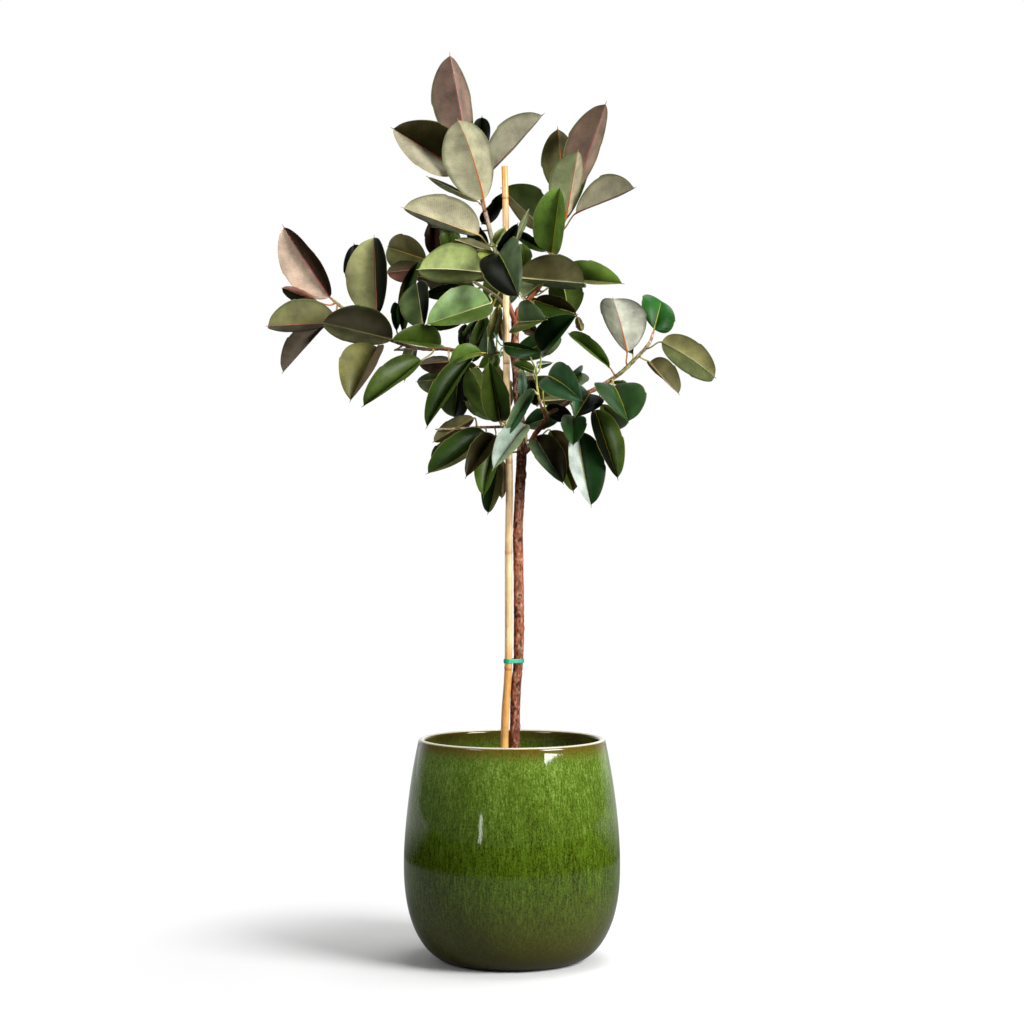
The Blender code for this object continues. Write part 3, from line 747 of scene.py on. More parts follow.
@dataclass(frozen=True)
class StemSkin(Finish):
    """Skin of a stem, whose colour comes with the piece as "tone" and whose grain runs upright.

    Used as grown: ridged cork on the trunk, fibre on a bamboo culm, thin skin on green shoots.
    """

    name: str
    roughness: float
    grain_mm: float                     # width of a ridge or fibre
    stretch: float                      # how short the grain is against its length
    dark: str                           # colour in the clefts
    dark_share: float                   # how much of the skin the clefts take
    relief: float                       # depth of the clefts, m
    coat: float = 0.0

    def dress(self, graph: Graph) -> dict[str, Any]:
        """Darken and lower the clefts of a noise that is drawn out along the stem."""
        place = graph.place()
        ridges = graph.noise(graph.upright(place, self.stretch), 500 / self.grain_mm, 6.0, 0.6)
        clefts = graph.remap(ridges, 0.36, 0.52, self.dark_share, 0.0)
        bright = graph.remap(graph.noise(place, 40.0, 3.0), 0.3, 0.7, 0.8, 1.2)
        colour = graph.mix(clefts, graph.lighten(graph.stored("tone"), bright), self.dark)
        return {"Base Color": colour, "Roughness": self.roughness, "Coat Weight": self.coat,
                "Coat Roughness": 0.25, "Normal": graph.bump(ridges, self.relief)}


@dataclass(frozen=True)
class GrainedSolid(Finish):
    """A material of one colour family with a fine grain all through, such as soil or foam rock."""

    name: str
    light: str
    dark: str
    grain_mm: float
    roughness: float
    relief: float                       # depth of the grain, m

    def dress(self, graph: Graph) -> dict[str, Any]:
        """Run a noise from the dark to the light colour and lift it as relief."""
        grain = graph.noise(graph.place(), 500 / self.grain_mm, 5.0, 0.65)
        colour = graph.ramp(grain, (0.35, self.dark), (0.65, self.light))
        return {"Base Color": colour, "Roughness": self.roughness,
                "Normal": graph.bump(grain, self.relief)}


@dataclass(frozen=True)
class SoftVinyl(Finish):
    """Plasticised vinyl of garden ties: extruded, which leaves fine lines and a soft gloss."""

    name: str
    colour: str
    line_mm: float = 0.8                # spacing of the extrusion lines
    roughness: float = 0.24
    relief: float = 0.0001              # depth of the lines, m

    def dress(self, graph: Graph) -> dict[str, Any]:
        """Draw the extrusion lines around the tie, with a little wear in the colour."""
        place = graph.place()
        lines = graph.add("TexWave", {"Vector": place, "Scale": 157 / self.line_mm}, 1,
                          bands_direction="Z")
        bright = graph.remap(graph.noise(place, 150.0), 0.3, 0.7, 0.85, 1.12)
        return {"Base Color": graph.lighten(self.colour, bright), "Roughness": self.roughness,
                "Normal": graph.bump(lines, self.relief)}


# Ground stoneware, peat and rock, as bought
GLAZE = ReactiveGlaze()
PEAT = GrainedSolid("peat_potting_mix", "#5a4230", "#1c120c", 2.4, 0.95, 0.0008)
PERLITE = GrainedSolid("expanded_perlite", "#f4f1ea", "#cfc8ba", 1.2, 0.85, 0.0003)
# Corky bark of an old stem: ridged and dull, with dark clefts between pinkish plates
CORK_BARK = StemSkin("rubber_tree_cork_bark", 0.8, 1.5, 0.3, "#4a281a", 0.55, 0.0012)
# Smooth skin of last year's wood and of green shoots: a faint grain under a thin wax
YOUNG_BARK = StemSkin("young_shoot_skin", 0.5, 1.6, 0.3, "#4a3218", 0.35, 0.0003, 0.1)
# Bamboo culm: split fibre under a smooth varnish-like rind
BAMBOO = StemSkin("dried_bamboo_culm", 0.38, 1.1, 0.03, "#c8843c", 0.5, 0.0001, 0.2)
# Leaf stalks: smooth, green to pink, waxed as the leaf is
STALK = StemSkin("leaf_stalk_skin", 0.4, 1.2, 0.2, "#7a6a34", 0.2, 0.0001, 0.15)
CUTICLE = LeafSkin("waxed_leaf_cuticle", 0.36, 0.02, 0.2, 0.0001, 0.13)
UNDERSIDE = LeafSkin("matt_leaf_underside", 0.55, 0.0, 0.2, 0.00012, 0.09)
BAND_VINYL = SoftVinyl("green_tie_vinyl", "#1fae86")
WIRE_VINYL = SoftVinyl("mint_tie_wire_vinyl", "#7fe0b8")


@dataclass
class Pot:
    """The glazed pot: round belly, drawn-in neck, rounded lip and a flat foot. Sizes in cm."""

    foot_radius: float = 12.0
    belly_radius: float = 20.2
    belly_height: float = 18.0
    neck_radius: float = 17.55
    neck_height: float = 40.5
    tuck: float = 2.4                   # how suddenly the wall turns in below the belly
    fullness: float = 0.55              # how round it is there: small is full
    shoulder: float = 1.8               # how late it draws in above the belly
    wall: float = 1.3
    floor: float = 1.8
    sides: int = 256
    waver: float = 0.035                # how far the wall wavers from true, as thrown
    wavers: int = 6                     # number of its swells to the turn
    waver_length: float = 9.0           # and how long they are

    def outer(self, z: Array) -> Array:
        """Outer radius at heights.

        Below the belly it is foot + (belly - foot) (1 - drop^tuck)^fullness, where drop runs from
        0 at the belly to 1 at the foot. Above, the radius shrinks with rise^shoulder to the neck.
        """
        drop = np.clip((self.belly_height - z) / self.belly_height, 0.0, 1.0)
        full = (1 - drop ** self.tuck) ** self.fullness
        below = self.foot_radius + (self.belly_radius - self.foot_radius) * full
        rise = np.clip((z - self.belly_height) / (self.neck_height - self.belly_height), 0.0, 1.0)
        above = self.belly_radius - (self.belly_radius - self.neck_radius) * rise ** self.shoulder
        return np.where(z < self.belly_height, below, above)

    def profile(self) -> Array:
        """Radius and height from the foot, up the outside, over the lip and down the inside."""
        foot = np.stack([np.linspace(1.0, self.foot_radius - 0.3, 5), np.full(5, 0.0)], axis=-1)
        low = self.belly_height * (1 - np.cos(np.linspace(0.05, math.pi / 2, 36)))
        up = np.append(low, np.linspace(self.belly_height, self.neck_height, 40)[1:-1])
        outside = np.stack([self.outer(up), up], axis=-1)
        turn = np.linspace(0.0, math.pi, 15)
        lip = np.stack([self.neck_radius - self.wall / 2 * (1 - np.cos(turn)),
                        self.neck_height + self.wall / 2 * np.sin(turn)], axis=-1)
        down = np.linspace(self.neck_height, self.floor + 3.0, 40)[1:]
        inside = np.stack([self.outer(down) - self.wall, down], axis=-1)
        floor = np.array([[inside[-1, 0] - 2.5, self.floor], [1.0, self.floor]])
        return np.vstack([foot, outside, lip, inside, floor])

    def build(self) -> None:
        """Turn the profile about the axis, with the slight waver of a thrown wall."""
        radius, z = self.profile().T
        angle = around(self.sides)
        waver = wall_noise(angle[None, :], self.wavers, z[:, None] / self.waver_length, Seed.POT_WALL)
        firm = np.clip(z / 4.0, 0.0, 1.0)[:, None]
        rings = turned(radius[:, None] + self.waver * waver * firm, z[:, None], angle)
        add_piece("pot_glazed", [closed_tube(rings)], [GLAZE], "pot_glaze", "pot")


@dataclass
class Soil:
    """The root ball: peat mix that fills the pot to below its lip, with perlite on top. In cm."""

    top: float = 35.0
    gap: float = 0.05                   # between the ball and the pot
    crumbs: int = 620                   # number of loose crumbs
    perlite: int = 110                  # number of grains
    sides: int = 128

    def surface(self, points: Array) -> Array:
        """Height of the soil at points: a low dome with lumps 3 cm and 1 cm across."""
        x, y = points[..., 0], points[..., 1]
        dome = self.top + 0.6 * (1.0 - np.hypot(x, y) / 17.0)
        lumps = value_noise(x / 3.0, y / 3.0, Seed.SOIL_LUMPS)
        clods = value_noise(x * 1.1, y * 1.1, Seed.SOIL_CLODS)
        return dome + 0.28 * lumps + 0.12 * clods

    def build(self, pot: Pot) -> None:
        """Make the ball, its loose crumbs and the perlite.

        Args:
            pot: The pot that holds it.
        """
        sunk = np.linspace(pot.floor + 3.0, self.top - 0.4, 14)
        wall = (pot.outer(sunk) - pot.wall - self.gap)[:, None]
        low = np.array([[3.0, pot.floor + self.gap], [wall[0, 0] - 2.5, pot.floor + self.gap]])
        radius = np.vstack([low[:, :1], wall, wall[-1] * np.linspace(0.985, 0.02, 60)[:, None]])
        rings = turned(radius, 0.0, around(self.sides)[None, :])
        rings[..., 2] = self.surface(rings)
        rings[:2, :, 2] = low[:, 1:]
        rings[2:2 + len(sunk), :, 2] = sunk[:, None]

        chance = np.random.default_rng(Seed.CRUMBS)
        count = self.crumbs + self.perlite
        reach = (wall[-1, 0] - 0.6) * np.sqrt(chance.uniform(0.02, 1.0, count))
        places = turned(reach, 0.0, chance.uniform(0.0, FULL_TURN, count))
        places[:, 2] = self.surface(places) + 0.03
        sizes = chance.uniform(0.12, 0.42, (self.crumbs, 1)) * chance.uniform(0.6, 1.2, (self.crumbs, 3))
        crumbs = scatter(places[:self.crumbs], sizes, Seed.CRUMB_TURNS)
        add_piece("soil_surface", [closed_tube(rings), crumbs], [PEAT], "potting_soil", "soil", sharp=80)
        sizes = chance.uniform(0.1, 0.24, (self.perlite, 1)) * chance.uniform(0.7, 1.2, (self.perlite, 3))
        grains = scatter(places[self.crumbs:] + (0, 0, 0.05), sizes, Seed.PERLITE_TURNS)
        add_piece("soil_perlite", [grains], [PERLITE], "potting_soil")


@dataclass
class Trunk:
    """The old stem: corky, gently bent, with ring scars and the stubs of old shoots. In cm."""

    places: tuple[Place, ...] = (
        (0.3, 0.5, 12), (0.4, 0.5, 30), (0.5, 0.5, 41), (0.7, 0.5, 50), (1.2, 0.5, 56), (1.3, 0.5, 65),
        (1.2, 0.5, 74), (1.1, 0.5, 80), (1.4, 0.5, 86), (1.8, 0.6, 94), (2.0, 0.6, 98), (1.6, 0.6, 101),
        (0.95, 0.6, 105), (0.8, 0.6, 109), (0.45, 0.6, 113), (0.6, 0.6, 117), (0.5, 0.7, 119.2))
    radii: tuple[float, ...] = (1.0, 0.98, 0.95, 0.93, 0.92, 0.95, 0.92, 0.94, 0.95, 0.95, 0.85, 0.72, 0.7,
                                0.72, 0.74, 0.7, 0.66)
    # Height, place on the stem (degrees from +X) and size of each stub
    knobs: tuple[Place, ...] = (
        (43.2, 280, 0.25), (50.1, 215, 0.36), (54.3, 350, 0.25), (57.9, 190, 0.2), (61.6, 312, 0.4),
        (67.9, 185, 0.42), (70.5, 340, 0.3), (78.3, 350, 0.2), (81.3, 185, 0.26), (87.8, 182, 0.5),
        (90.4, 272, 0.3), (101.0, 10, 0.22), (104.5, 200, 0.25), (108.0, 20, 0.25), (114.8, 300, 0.25))
    girdles: tuple[float, ...] = (      # heights of the ring scars
        47.0, 57.9, 66.0, 74.5, 85.5, 93.2, 99.0, 101.3, 103.8, 106.0, 108.4, 110.6, 112.8, 115.2, 117.2)
    stub_radius: float = 0.5
    girdle_reach: float = 0.15          # half the width of a ring scar
    sides: int = 64
    spacing: float = 0.15
    ridge: float = 0.055                # height of the plates of cork
    cleft: float = 0.11                 # depth of the cracks between them
    girdle: float = 0.06                # height of a ring scar
    coarse: tuple[int, float] = (14, 0.9)       # number of broad plates to the turn, their length
    fine: tuple[int, float] = (28, 0.42)        # the same for the small plates on them
    swell: float = 0.04                 # how much the whole stem swells and shrinks
    swell_length: float = 1.7
    # Colour of the bark by height; the dark brown from 94 to 99 cm is painted shade around the fork
    bark: tuple[tuple[float, str], ...] = (
        (41.0, "#7e3e26"), (56.0, "#94502f"), (75.0, "#a05a3a"), (88.0, "#965538"), (94.0, "#55291a"),
        (99.0, "#5a3a2e"), (103.0, "#8a6656"), (113.0, "#7a5442"), (117.0, "#9a4c28"), (120.0, "#a4522a"))
    # pale cork, with painted highlight where the plates and the stubs stand out
    plate_and_highlight: str = "#e0ae90"
    crack: str = "#220f07"

    def route(self) -> Route:
        """Centre line of the trunk."""
        return Route.through(sight(self.places), self.radii, self.spacing)

    def build(self, route: Route) -> None:
        """Make the trunk.

        A stub is a bump exp(-r^2) with a pit exp(-4.8 r^2) in it, where r is the distance from its
        middle over the stub's radius. Plates of cork are two noises, one broad and one small.
        Their highs are pale, partly the cork's own colour and partly painted highlight, and their lows are
        cut down as dark cracks. The raised crowns of the stubs are painted pale as highlight too. A ring scar
        is a low girdle, which the broad plates break up.

        Args:
            route: Centre line of the trunk.
        """
        angle = around(self.sides)[None, :]
        z = route.points[:, 2:3]
        high, turn, size = (np.array(self.knobs).T)[:, :, None, None]
        aside = (angle - np.radians(turn) + math.pi) % FULL_TURN - math.pi
        near = ((z - high) ** 2 + aside ** 2) / self.stub_radius ** 2
        stubs = np.sum(size * np.exp(-near), axis=0)
        pits = np.sum(size * np.exp(-4.8 * near), axis=0)
        scars = np.exp(-((z - np.array(self.girdles)) / self.girdle_reach) ** 2)
        coarse = wall_noise(angle, self.coarse[0], z / self.coarse[1], Seed.CORK_PLATES)
        fine = wall_noise(angle, self.fine[0], z / self.fine[1], Seed.CORK_CRACKS)
        swell = value_noise(0 * angle, z / self.swell_length, Seed.TRUNK_WAVER)
        cork = 0.5 * coarse + 0.6 * fine
        cracks = np.clip(-cork - 0.22, 0.0, 0.5)
        girdles = scars.sum(axis=1, keepdims=True) * np.clip(0.7 + 0.6 * coarse, 0.0, 1.0)
        radii = (route.radii[:, None] + stubs - 0.7 * pits + self.ridge * cork + self.girdle * girdles
                 + self.swell * swell - self.cleft * cracks)
        # pale: the cork's own pale plates and ring scars, with painted highlight on the raised plates and the
        # stubs' crowns
        pale = np.clip(1.1 * (cork - 0.12), 0.0, 0.6) + 0.55 * girdles + 2.0 * np.clip(stubs - pits, 0.0, 0.3)
        dark = np.clip(3.2 * cracks + 2.6 * pits, 0.0, 0.92)[..., None]
        tone = graded(z, *zip(*self.bark))
        tone = blend(tone, linear(self.plate_and_highlight), np.clip(pale, 0.0, 0.85)[..., None])
        tone = blend(tone, linear(self.crack), dark)
        skin = closed_tube(route.sweep(radii), {"tone": tone})
        add_piece("trunk_bark", [skin], [CORK_BARK], "trunk_bark", "trunk")


@dataclass
class Cane:
    """The bamboo stake: a hollow culm with raised nodes, golden at the top. In cm."""

    places: tuple[Place, ...] = (
        (-1.6, -0.7, 6), (-1.4, -0.7, 41), (-0.7, -0.7, 55), (-0.65, -0.7, 76), (-0.5, -0.7, 90),
        (-0.9, -0.7, 104), (-1.1, -0.7, 116), (-1.1, -0.7, 130), (-1.25, -0.7, 142), (-1.4, -0.7, 148.1))
    radii: tuple[float, ...] = (0.74, 0.73, 0.71, 0.69, 0.67, 0.64, 0.62, 0.6, 0.58, 0.57)
    nodes: tuple[float, ...] = (54.3, 76.0, 93.0, 111.5, 128.0, 142.3)
    node_reach: float = 0.28            # half the width of a node
    node_height: float = 0.05
    groove_below: float = 0.32          # how far below a node its groove lies
    groove_reach: float = 0.1           # half its width
    groove_depth: float = 0.04
    golden: tuple[float, float] = (132.0, 146.0)    # heights between which it turns golden
    earthy: tuple[float, float] = (55.0, 60.0)      # and loses the tone of its foot
    spacing: float = 0.25
    wall: float = 0.16
    hollow: float = 2.5                 # depth of the open end
    sides: int = 40
    rind: str = "#f8d8a4"
    rind_top: str = "#e8a850"
    rind_low: str = "#e8ad62"
    ring: str = "#a96a30"
    pith: str = "#8a6a3a"

    def route(self) -> Route:
        """Centre line of the cane."""
        return Route.through(sight(self.places), self.radii, self.spacing)

    def build(self, route: Route) -> None:
        """Make the cane.

        A node is a raised ring exp(-((z - node) / reach)^2) over a narrow groove. At the top the
        skin turns over the cut end and runs down inside as the hollow's wall.

        Args:
            route: Centre line of the cane.
        """
        z = route.points[:, 2]
        away = z[:, None] - np.array(self.nodes)[None, :]
        raised = np.exp(-(away / self.node_reach) ** 2).sum(axis=1)
        groove = np.exp(-((away + self.groove_below) / self.groove_reach) ** 2).sum(axis=1)
        waver = 0.008 * wall_noise(around(self.sides)[None, :], 5, z[:, None] / 6, Seed.CANE_WAVER)
        radii = route.radii + self.node_height * raised - self.groove_depth * groove
        outer = route.sweep(radii[:, None] + waver)
        down = np.linspace(0.0, self.hollow, 8)
        middle = route.points[-1]
        rim = (outer[-1] - middle)[None] * (1 - self.wall / route.radii[-1])
        inner = middle + rim - down[:, None, None] * route.tangents[-1]
        aged = np.interp(z, self.golden, (0.0, 1.0))[:, None]
        foot = np.interp(z, self.earthy, (1.0, 0.0))[:, None]
        rind, low, top = (linear(tone) for tone in (self.rind, self.rind_low, self.rind_top))
        skin = rind + (top - rind) * aged + (low - rind) * foot
        skin = blend(skin, linear(self.ring), np.clip(groove + 0.35 * raised, 0.0, 1.0)[:, None])
        # painted shade: the hollow's wall takes the pith colour darkened to 0.6
        pith = np.broadcast_to(linear(self.pith) * 0.6, (len(down) - 1, 3))
        tone = np.vstack([skin, top[None], pith])
        tone = np.broadcast_to(tone[:, None], (len(tone), self.sides, 3))
        culm = closed_tube(np.vstack([outer, inner]), {"tone": tone})
        add_piece("cane_bamboo", [culm], [BAMBOO], "bamboo", "cane", sharp=40)


@dataclass
class Ties:
    """The two ties that hold the trunk to the cane: a flat band, and a coated wire. In cm."""

    band_height: float = 55.6
    band_width: float = 0.8
    band_thick: float = 0.14
    corner: float = 0.35                # how round the band's section is: 1 round, 0 square
    wire_height: float = 114.3
    wire_radius: float = 0.13
    wire_pitch: float = 0.5             # how far the wire falls in its turn
    wire_start: tuple[Place, ...] = (
        (-3.4, 0.4, 117.0), (-2.95, 0.2, 116.0), (-2.5, 0.0, 115.2), (-2.15, -0.3, 114.7))
    wire_end: tuple[Place, ...] = ((-2.05, -1.0, 113.8), (-2.15, -1.3, 113.2), (-2.2, -1.4, 112.4))
    gap: float = 0.05                   # between the ties and the bark

    def belt(self, stems: tuple[Route, Route], z: float, offset: float, count: int) -> Array:
        """Loop round both stems.

        For each direction it takes the stem that reaches furthest that way, and the point at that
        stem's radius plus the offset.

        Args:
            stems: Trunk and cane.
            z: Height of the loop, cm.
            offset: Distance off the bark, cm.
            count: Number of points.

        Returns:
            Points of the loop, cm.
        """
        angle = around(count)
        out = np.stack([np.cos(angle), np.sin(angle), 0 * angle], axis=-1)
        nearest = [int(np.argmin(np.abs(stem.points[:, 2] - z))) for stem in stems]
        middles = np.array([stem.points[i] for stem, i in zip(stems, nearest)])
        radii = np.array([stem.radii[i] for stem, i in zip(stems, nearest)]) + offset
        furthest = np.argmax(out @ middles.T + radii, axis=1)
        points = middles[furthest] + out * radii[furthest][:, None]
        points[:, 2] = z
        return points

    def build(self, stems: tuple[Route, Route]) -> None:
        """Make both ties.

        The band's section is a rounded rectangle carried round the belt. The wire comes down from
        the left, takes one sloping turn and leaves its other end hanging.

        Args:
            stems: Trunk and cane.
        """
        inner = self.belt(stems, self.band_height, self.gap, 128)
        upright = np.array([0.0, 0.0, 1.0])
        out = square_to(inner - inner.mean(axis=0), upright)
        turn = around(24)
        across, rise = (np.sign(way) * np.abs(way) ** self.corner for way in (np.cos(turn), np.sin(turn)))
        middle = inner + out * self.band_thick / 2
        rings = middle[:, None] + out[:, None] * (across * self.band_thick / 2)[None, :, None]
        rings = rings + upright * (rise * self.band_width / 2)[:, None]
        quads = ring_quads(len(rings) + 1, len(turn)) % rings[..., 0].size
        band = Patch(rings[:, ::-1].reshape(-1, 3), [quads])
        add_piece("tie_lower_band", [band], [BAND_VINYL], "tie_green", "tie_lower")

        loop = self.belt(stems, self.wire_height, self.wire_radius + self.gap, 20)
        start = int(np.argmin(loop[:, 0]))
        loop = np.vstack([loop[start:], loop[:start + 1]])
        loop[:, 2] += self.wire_pitch * np.linspace(0.5, -0.5, len(loop))
        places = np.vstack([sight(self.wire_start), loop, sight(self.wire_end)])
        route = Route.through(places, (self.wire_radius,), 0.12)
        rings = route.sweep(np.full((len(route.points), 14), self.wire_radius))
        add_piece("tie_upper_wire", [closed_tube(rings)], [WIRE_VINYL], "tie_mint", "tie_upper")


@dataclass(frozen=True)
class Shoot:
    """One branch or shoot: where it leaves its parent, the way it goes, and how it looks. In cm."""

    name: str
    parent: str
    start: float                        # share of the parent's length at which it leaves
    places: tuple[Place, ...]
    radii: tuple[float, float]
    slot: str
    tones: tuple[str, ...]              # colours of its skin from foot to tip
    joints: tuple[float, ...] = ()      # shares of its length with a ring scar
    rough: float = 0.02                 # height of the bark's lumps
    bud: float = 0.0                    # length of the pointed sheath on its tip


SHOOTS = (
    Shoot("leader", "trunk", 1.0,
          ((-0.9, 1.6, 123), (-1.9, 1.7, 127.5), (-2.9, 1.3, 131.7), (-3.7, 0.8, 134.3), (-4.5, 0.4, 137.5),
           (-5.5, 0.2, 141.5), (-6.2, 0.4, 145), (-6.8, 0.6, 148)), (0.55, 0.36), "green_wood",
          ("#7a3a20", "#a8705c", "#b0a878", "#a8b47c", "#b0927c", "#a07060", "#8a5a48"),
          (0.12, 0.28, 0.44, 0.56, 0.68, 0.8, 0.92), 0.02, 2.6),
    Shoot("right_top_shoot", "trunk", 0.992,
          ((1.1, 0.9, 120.9), (2.3, 1.0, 122.3), (3.6, 1.1, 123.8), (4.9, 1.2, 125.3), (6.3, 1.3, 128),
           (7.4, 1.4, 131.5), (8.5, 1.6, 135), (9.7, 1.9, 138), (10.6, 2.2, 141)), (0.66, 0.3), "young_bark",
          ("#b0562c", "#c4703c", "#b08a54", "#a89058", "#9a9a5c"), (0.2, 0.33, 0.48, 0.6, 0.72, 0.82, 0.92),
          0.05, 2.4),
    Shoot("left_branch", "trunk", 0.943,
          ((-2.5, 1.4, 113), (-6, 1.6, 113), (-10, 1.6, 113.5), (-13, 1.5, 114), (-17, 1.4, 114),
           (-22.7, 1.3, 115.6), (-28, 1.2, 118.8), (-32, 1.0, 121.9), (-33.6, 0.9, 123.2)), (0.48, 0.26),
          "young_bark", ("#8a5434", "#9c6238", "#6e5236", "#84603c", "#8c7a48", "#9a8a58"),
          (0.1, 0.2, 0.31, 0.4, 0.5, 0.6, 0.7, 0.8, 0.9), 0.04, 1.6),
    Shoot("back_left_shoot", "leader", 0.12,
          ((-2.6, 3.6, 123.5), (-5.5, 6.5, 125.5), (-9, 8.5, 127.5), (-12.5, 9.5, 129), (-15.5, 10, 130)),
          (0.36, 0.24), "green_wood", ("#8a6a44", "#8a8a50", "#8c9a5a"), (0.25, 0.5, 0.75), 0.02, 1.5),
    Shoot("low_left_twig", "trunk", 0.808,
          ((-1.5, 1.5, 99.3), (-5, 1.6, 99.3), (-8, 1.4, 99.2), (-11, 1.2, 99), (-14, 1.0, 98.9)),
          (0.3, 0.18), "young_bark", ("#7a5236", "#8a6240", "#e0bc98", "#ecdcb4"),
          (0.3, 0.5, 0.53, 0.56, 0.88), 0.03, 0.5),
    Shoot("right_branch", "trunk", 0.772,
          ((4.2, 0.1, 97.8), (6, -0.3, 100), (7.4, -0.5, 102), (11, -0.7, 104.2), (15.3, -0.8, 106.3),
           (18.6, -0.8, 108.2), (21.3, -0.7, 110.3), (23.2, -0.6, 112.2), (24.8, -0.5, 113.9),
           (25.9, -0.4, 115.4), (26.3, -0.4, 116.6)), (0.55, 0.28), "branch_bark",
          ("#5a2c18", "#7a4024", "#5a3424", "#8a5a48", "#b8866e", "#7e7a4c", "#86804f", "#b09478"),
          (0.07, 0.13, 0.2, 0.27, 0.4, 0.52, 0.63, 0.72, 0.8, 0.88, 0.95), 0.07, 1.2),
    Shoot("centre_shoot", "right_branch", 0.255,
          ((5.7, -1.2, 102.6), (5.1, -1.8, 104.4), (4.7, -2.0, 107), (4.4, -2.0, 110), (3.7, -2.0, 111.8),
           (2.8, -2.0, 113.6)), (0.32, 0.12), "green_wood",
          ("#8a5230", "#a87c48", "#a9a456", "#b4bc66", "#c2c47a"), (0.12, 0.24, 0.36, 0.62), 0.02, 0.8),
    Shoot("back_branch", "trunk", 0.86,
          ((1.6, 3.6, 104.8), (0.8, 7.2, 106.6), (-1.8, 10.4, 109.2), (-3.6, 12.8, 113.6), (-4, 15, 119)),
          (0.42, 0.26), "branch_bark", ("#6a4630", "#6e5236", "#84744a"),
          (0.25, 0.45, 0.65, 0.85), 0.05, 1.4),
)


@dataclass
class Branches:
    """Every branch and shoot, with the ring scars that the leaves' sheaths leave. In cm."""

    sides: int = 24
    spacing: float = 0.14
    scar: float = 0.05                  # height of a ring scar
    scar_reach: float = 0.1             # half its width
    collar: float = 0.18                # height of the swelling where a shoot leaves its parent
    collar_reach: float = 0.5
    sheath: str = "#c4685a"

    def route(self, shoot: Shoot, parent: Route) -> Route:
        """Centre line of a shoot, square to its parent's bark where it leaves.

        Args:
            shoot: The shoot.
            parent: Centre line that it leaves.

        Returns:
            Its own centre line.
        """
        places = sight(shoot.places)
        seat, away = parent.seat(shoot.start, places[0])
        ahead = places[0] - seat
        step = min(1.3 * shoot.radii[0], 0.4 * float(np.linalg.norm(ahead)))
        first = seat + unit(0.5 * away + unit(ahead)) * step
        centre, _, thick = parent.at(shoot.start)
        root = centre + 0.25 * (seat - centre) - unit(ahead) * 0.5 * thick
        return Route.through(np.vstack([root, first, places]), shoot.radii, self.spacing)

    def build(self, trunk: Route) -> dict[str, Route]:
        """Make every shoot.

        Radius = taper + foot collar exp(-s / reach) + ring scars, and the colour runs through the
        shoot's tones, lighter on the raised lumps and darker between them as painted highlight and shade.
        Past the tip a bud's sheath narrows as 1 - share^1.6.

        Args:
            trunk: Centre line of the trunk.

        Returns:
            The centre line of each woody piece, by name.
        """
        routes = {"trunk": trunk}
        for number, shoot in enumerate(SHOOTS):
            route = self.route(shoot, routes[shoot.parent])
            routes[shoot.name] = route
            share = np.linspace(0.0, 1.0, len(route.points))
            run = share * (len(route.points) - 1) * self.spacing
            beside = (share[:, None] - np.array(shoot.joints)[None, :]) * run[-1]
            scars = np.exp(-(beside / self.scar_reach) ** 2).sum(axis=1)
            collar = self.collar * np.exp(-run / self.collar_reach)
            lumps = wall_noise(around(self.sides)[None, :], 9, run[:, None] / 0.6, Seed.SHOOT_LUMPS + number)
            radii = (route.radii + collar + self.scar * scars)[:, None] + shoot.rough * lumps
            tone = graded(share, np.linspace(0.0, 1.0, len(shoot.tones)), shoot.tones)
            tone = tone * (1.0 - 0.35 * np.clip(scars, 0.0, 1.0))[:, None]
            # painted highlight on the raised lumps and painted shade between them
            lump_highlight_and_shade = 1.0 + np.clip(12.0 * shoot.rough, 0.15, 0.8) * lumps[..., None]
            tone = np.clip(tone[:, None] * lump_highlight_and_shade, 0.0, 1.0)
            rings = route.sweep(radii)
            far = route.points[-1]
            t = np.linspace(0.0, 1.0, 16)[1:, None, None]
            tip = far + (rings[-1] - far) * (1 - t ** 1.6 * 0.96) * 0.92
            tip = tip + t * max(shoot.bud, 0.3) * route.tangents[-1]
            bud = blend(tone[-1], linear(self.sheath), np.minimum(t * 4, 1.0))
            skin = closed_tube(np.vstack([rings, tip]), {"tone": np.vstack([tone, bud])})
            bark = CORK_BARK if shoot.slot == "branch_bark" else YOUNG_BARK
            add_piece(shoot.name + "_wood", [skin], [bark], shoot.slot, shoot.name)
        return routes


class Tone(Enum):
    """Named colours of blades and ribs, as they look in soft light: many hold painted light and shade, a
    half's lit or shaded look rather than its own colour.
    """

    NIGHT = "#0a0f06"
    INK = "#141a0a"
    PINE = "#153010"
    BOTTLE = "#27451f"
    FOREST = "#2e5030"
    EMERALD = "#23581c"
    IVY = "#2f4414"
    MOSS = "#3f5219"
    FERN = "#4d6422"
    MEADOW = "#5f7f30"
    APPLE = "#839f60"
    LIME = "#98a766"
    TEAL = "#52705a"
    SEA = "#4e6442"
    FROND = "#82946a"
    MIST = "#9aaa99"
    # painted sheen: the pale of a glossy half or rib that catches the light
    PAINTED_SHEEN = "#c2cbc1"
    STEEL = "#56705a"
    SAGE = "#8f9a6c"
    WILLOW = "#a3a36e"
    REED = "#9a927a"
    LINEN = "#aca384"
    CHALK = "#eeebd4"
    OLIVE = "#6c6c3c"
    KHAKI = "#8a845a"
    BRONZE = "#605c36"
    UMBER = "#524822"
    COFFEE = "#282410"
    COCOA = "#2a1c12"
    TAUPE = "#625646"
    PLUM = "#6e5848"
    MAUVE = "#88705e"
    CLAY = "#b07868"
    SHELL = "#f6d4bc"
    SALMON = "#f0a890"
    ROSE = "#d98a84"
    CORAL = "#e0605a"
    RED = "#a8403a"
    MAROON = "#6a2a2c"
    ORANGE = "#c8682e"
    TAN = "#b89a58"
    CREAM = "#d9d2a0"
    YELLOW = "#c9b84a"
    SPRING = "#a9b25a"


class Side(Enum):
    """The face of a blade that fronts someone in front of the pot."""

    UPPER = 1
    UNDER = -1


# Short names for the tables
T, UPPER, UNDER = Tone, Side.UPPER, Side.UNDER


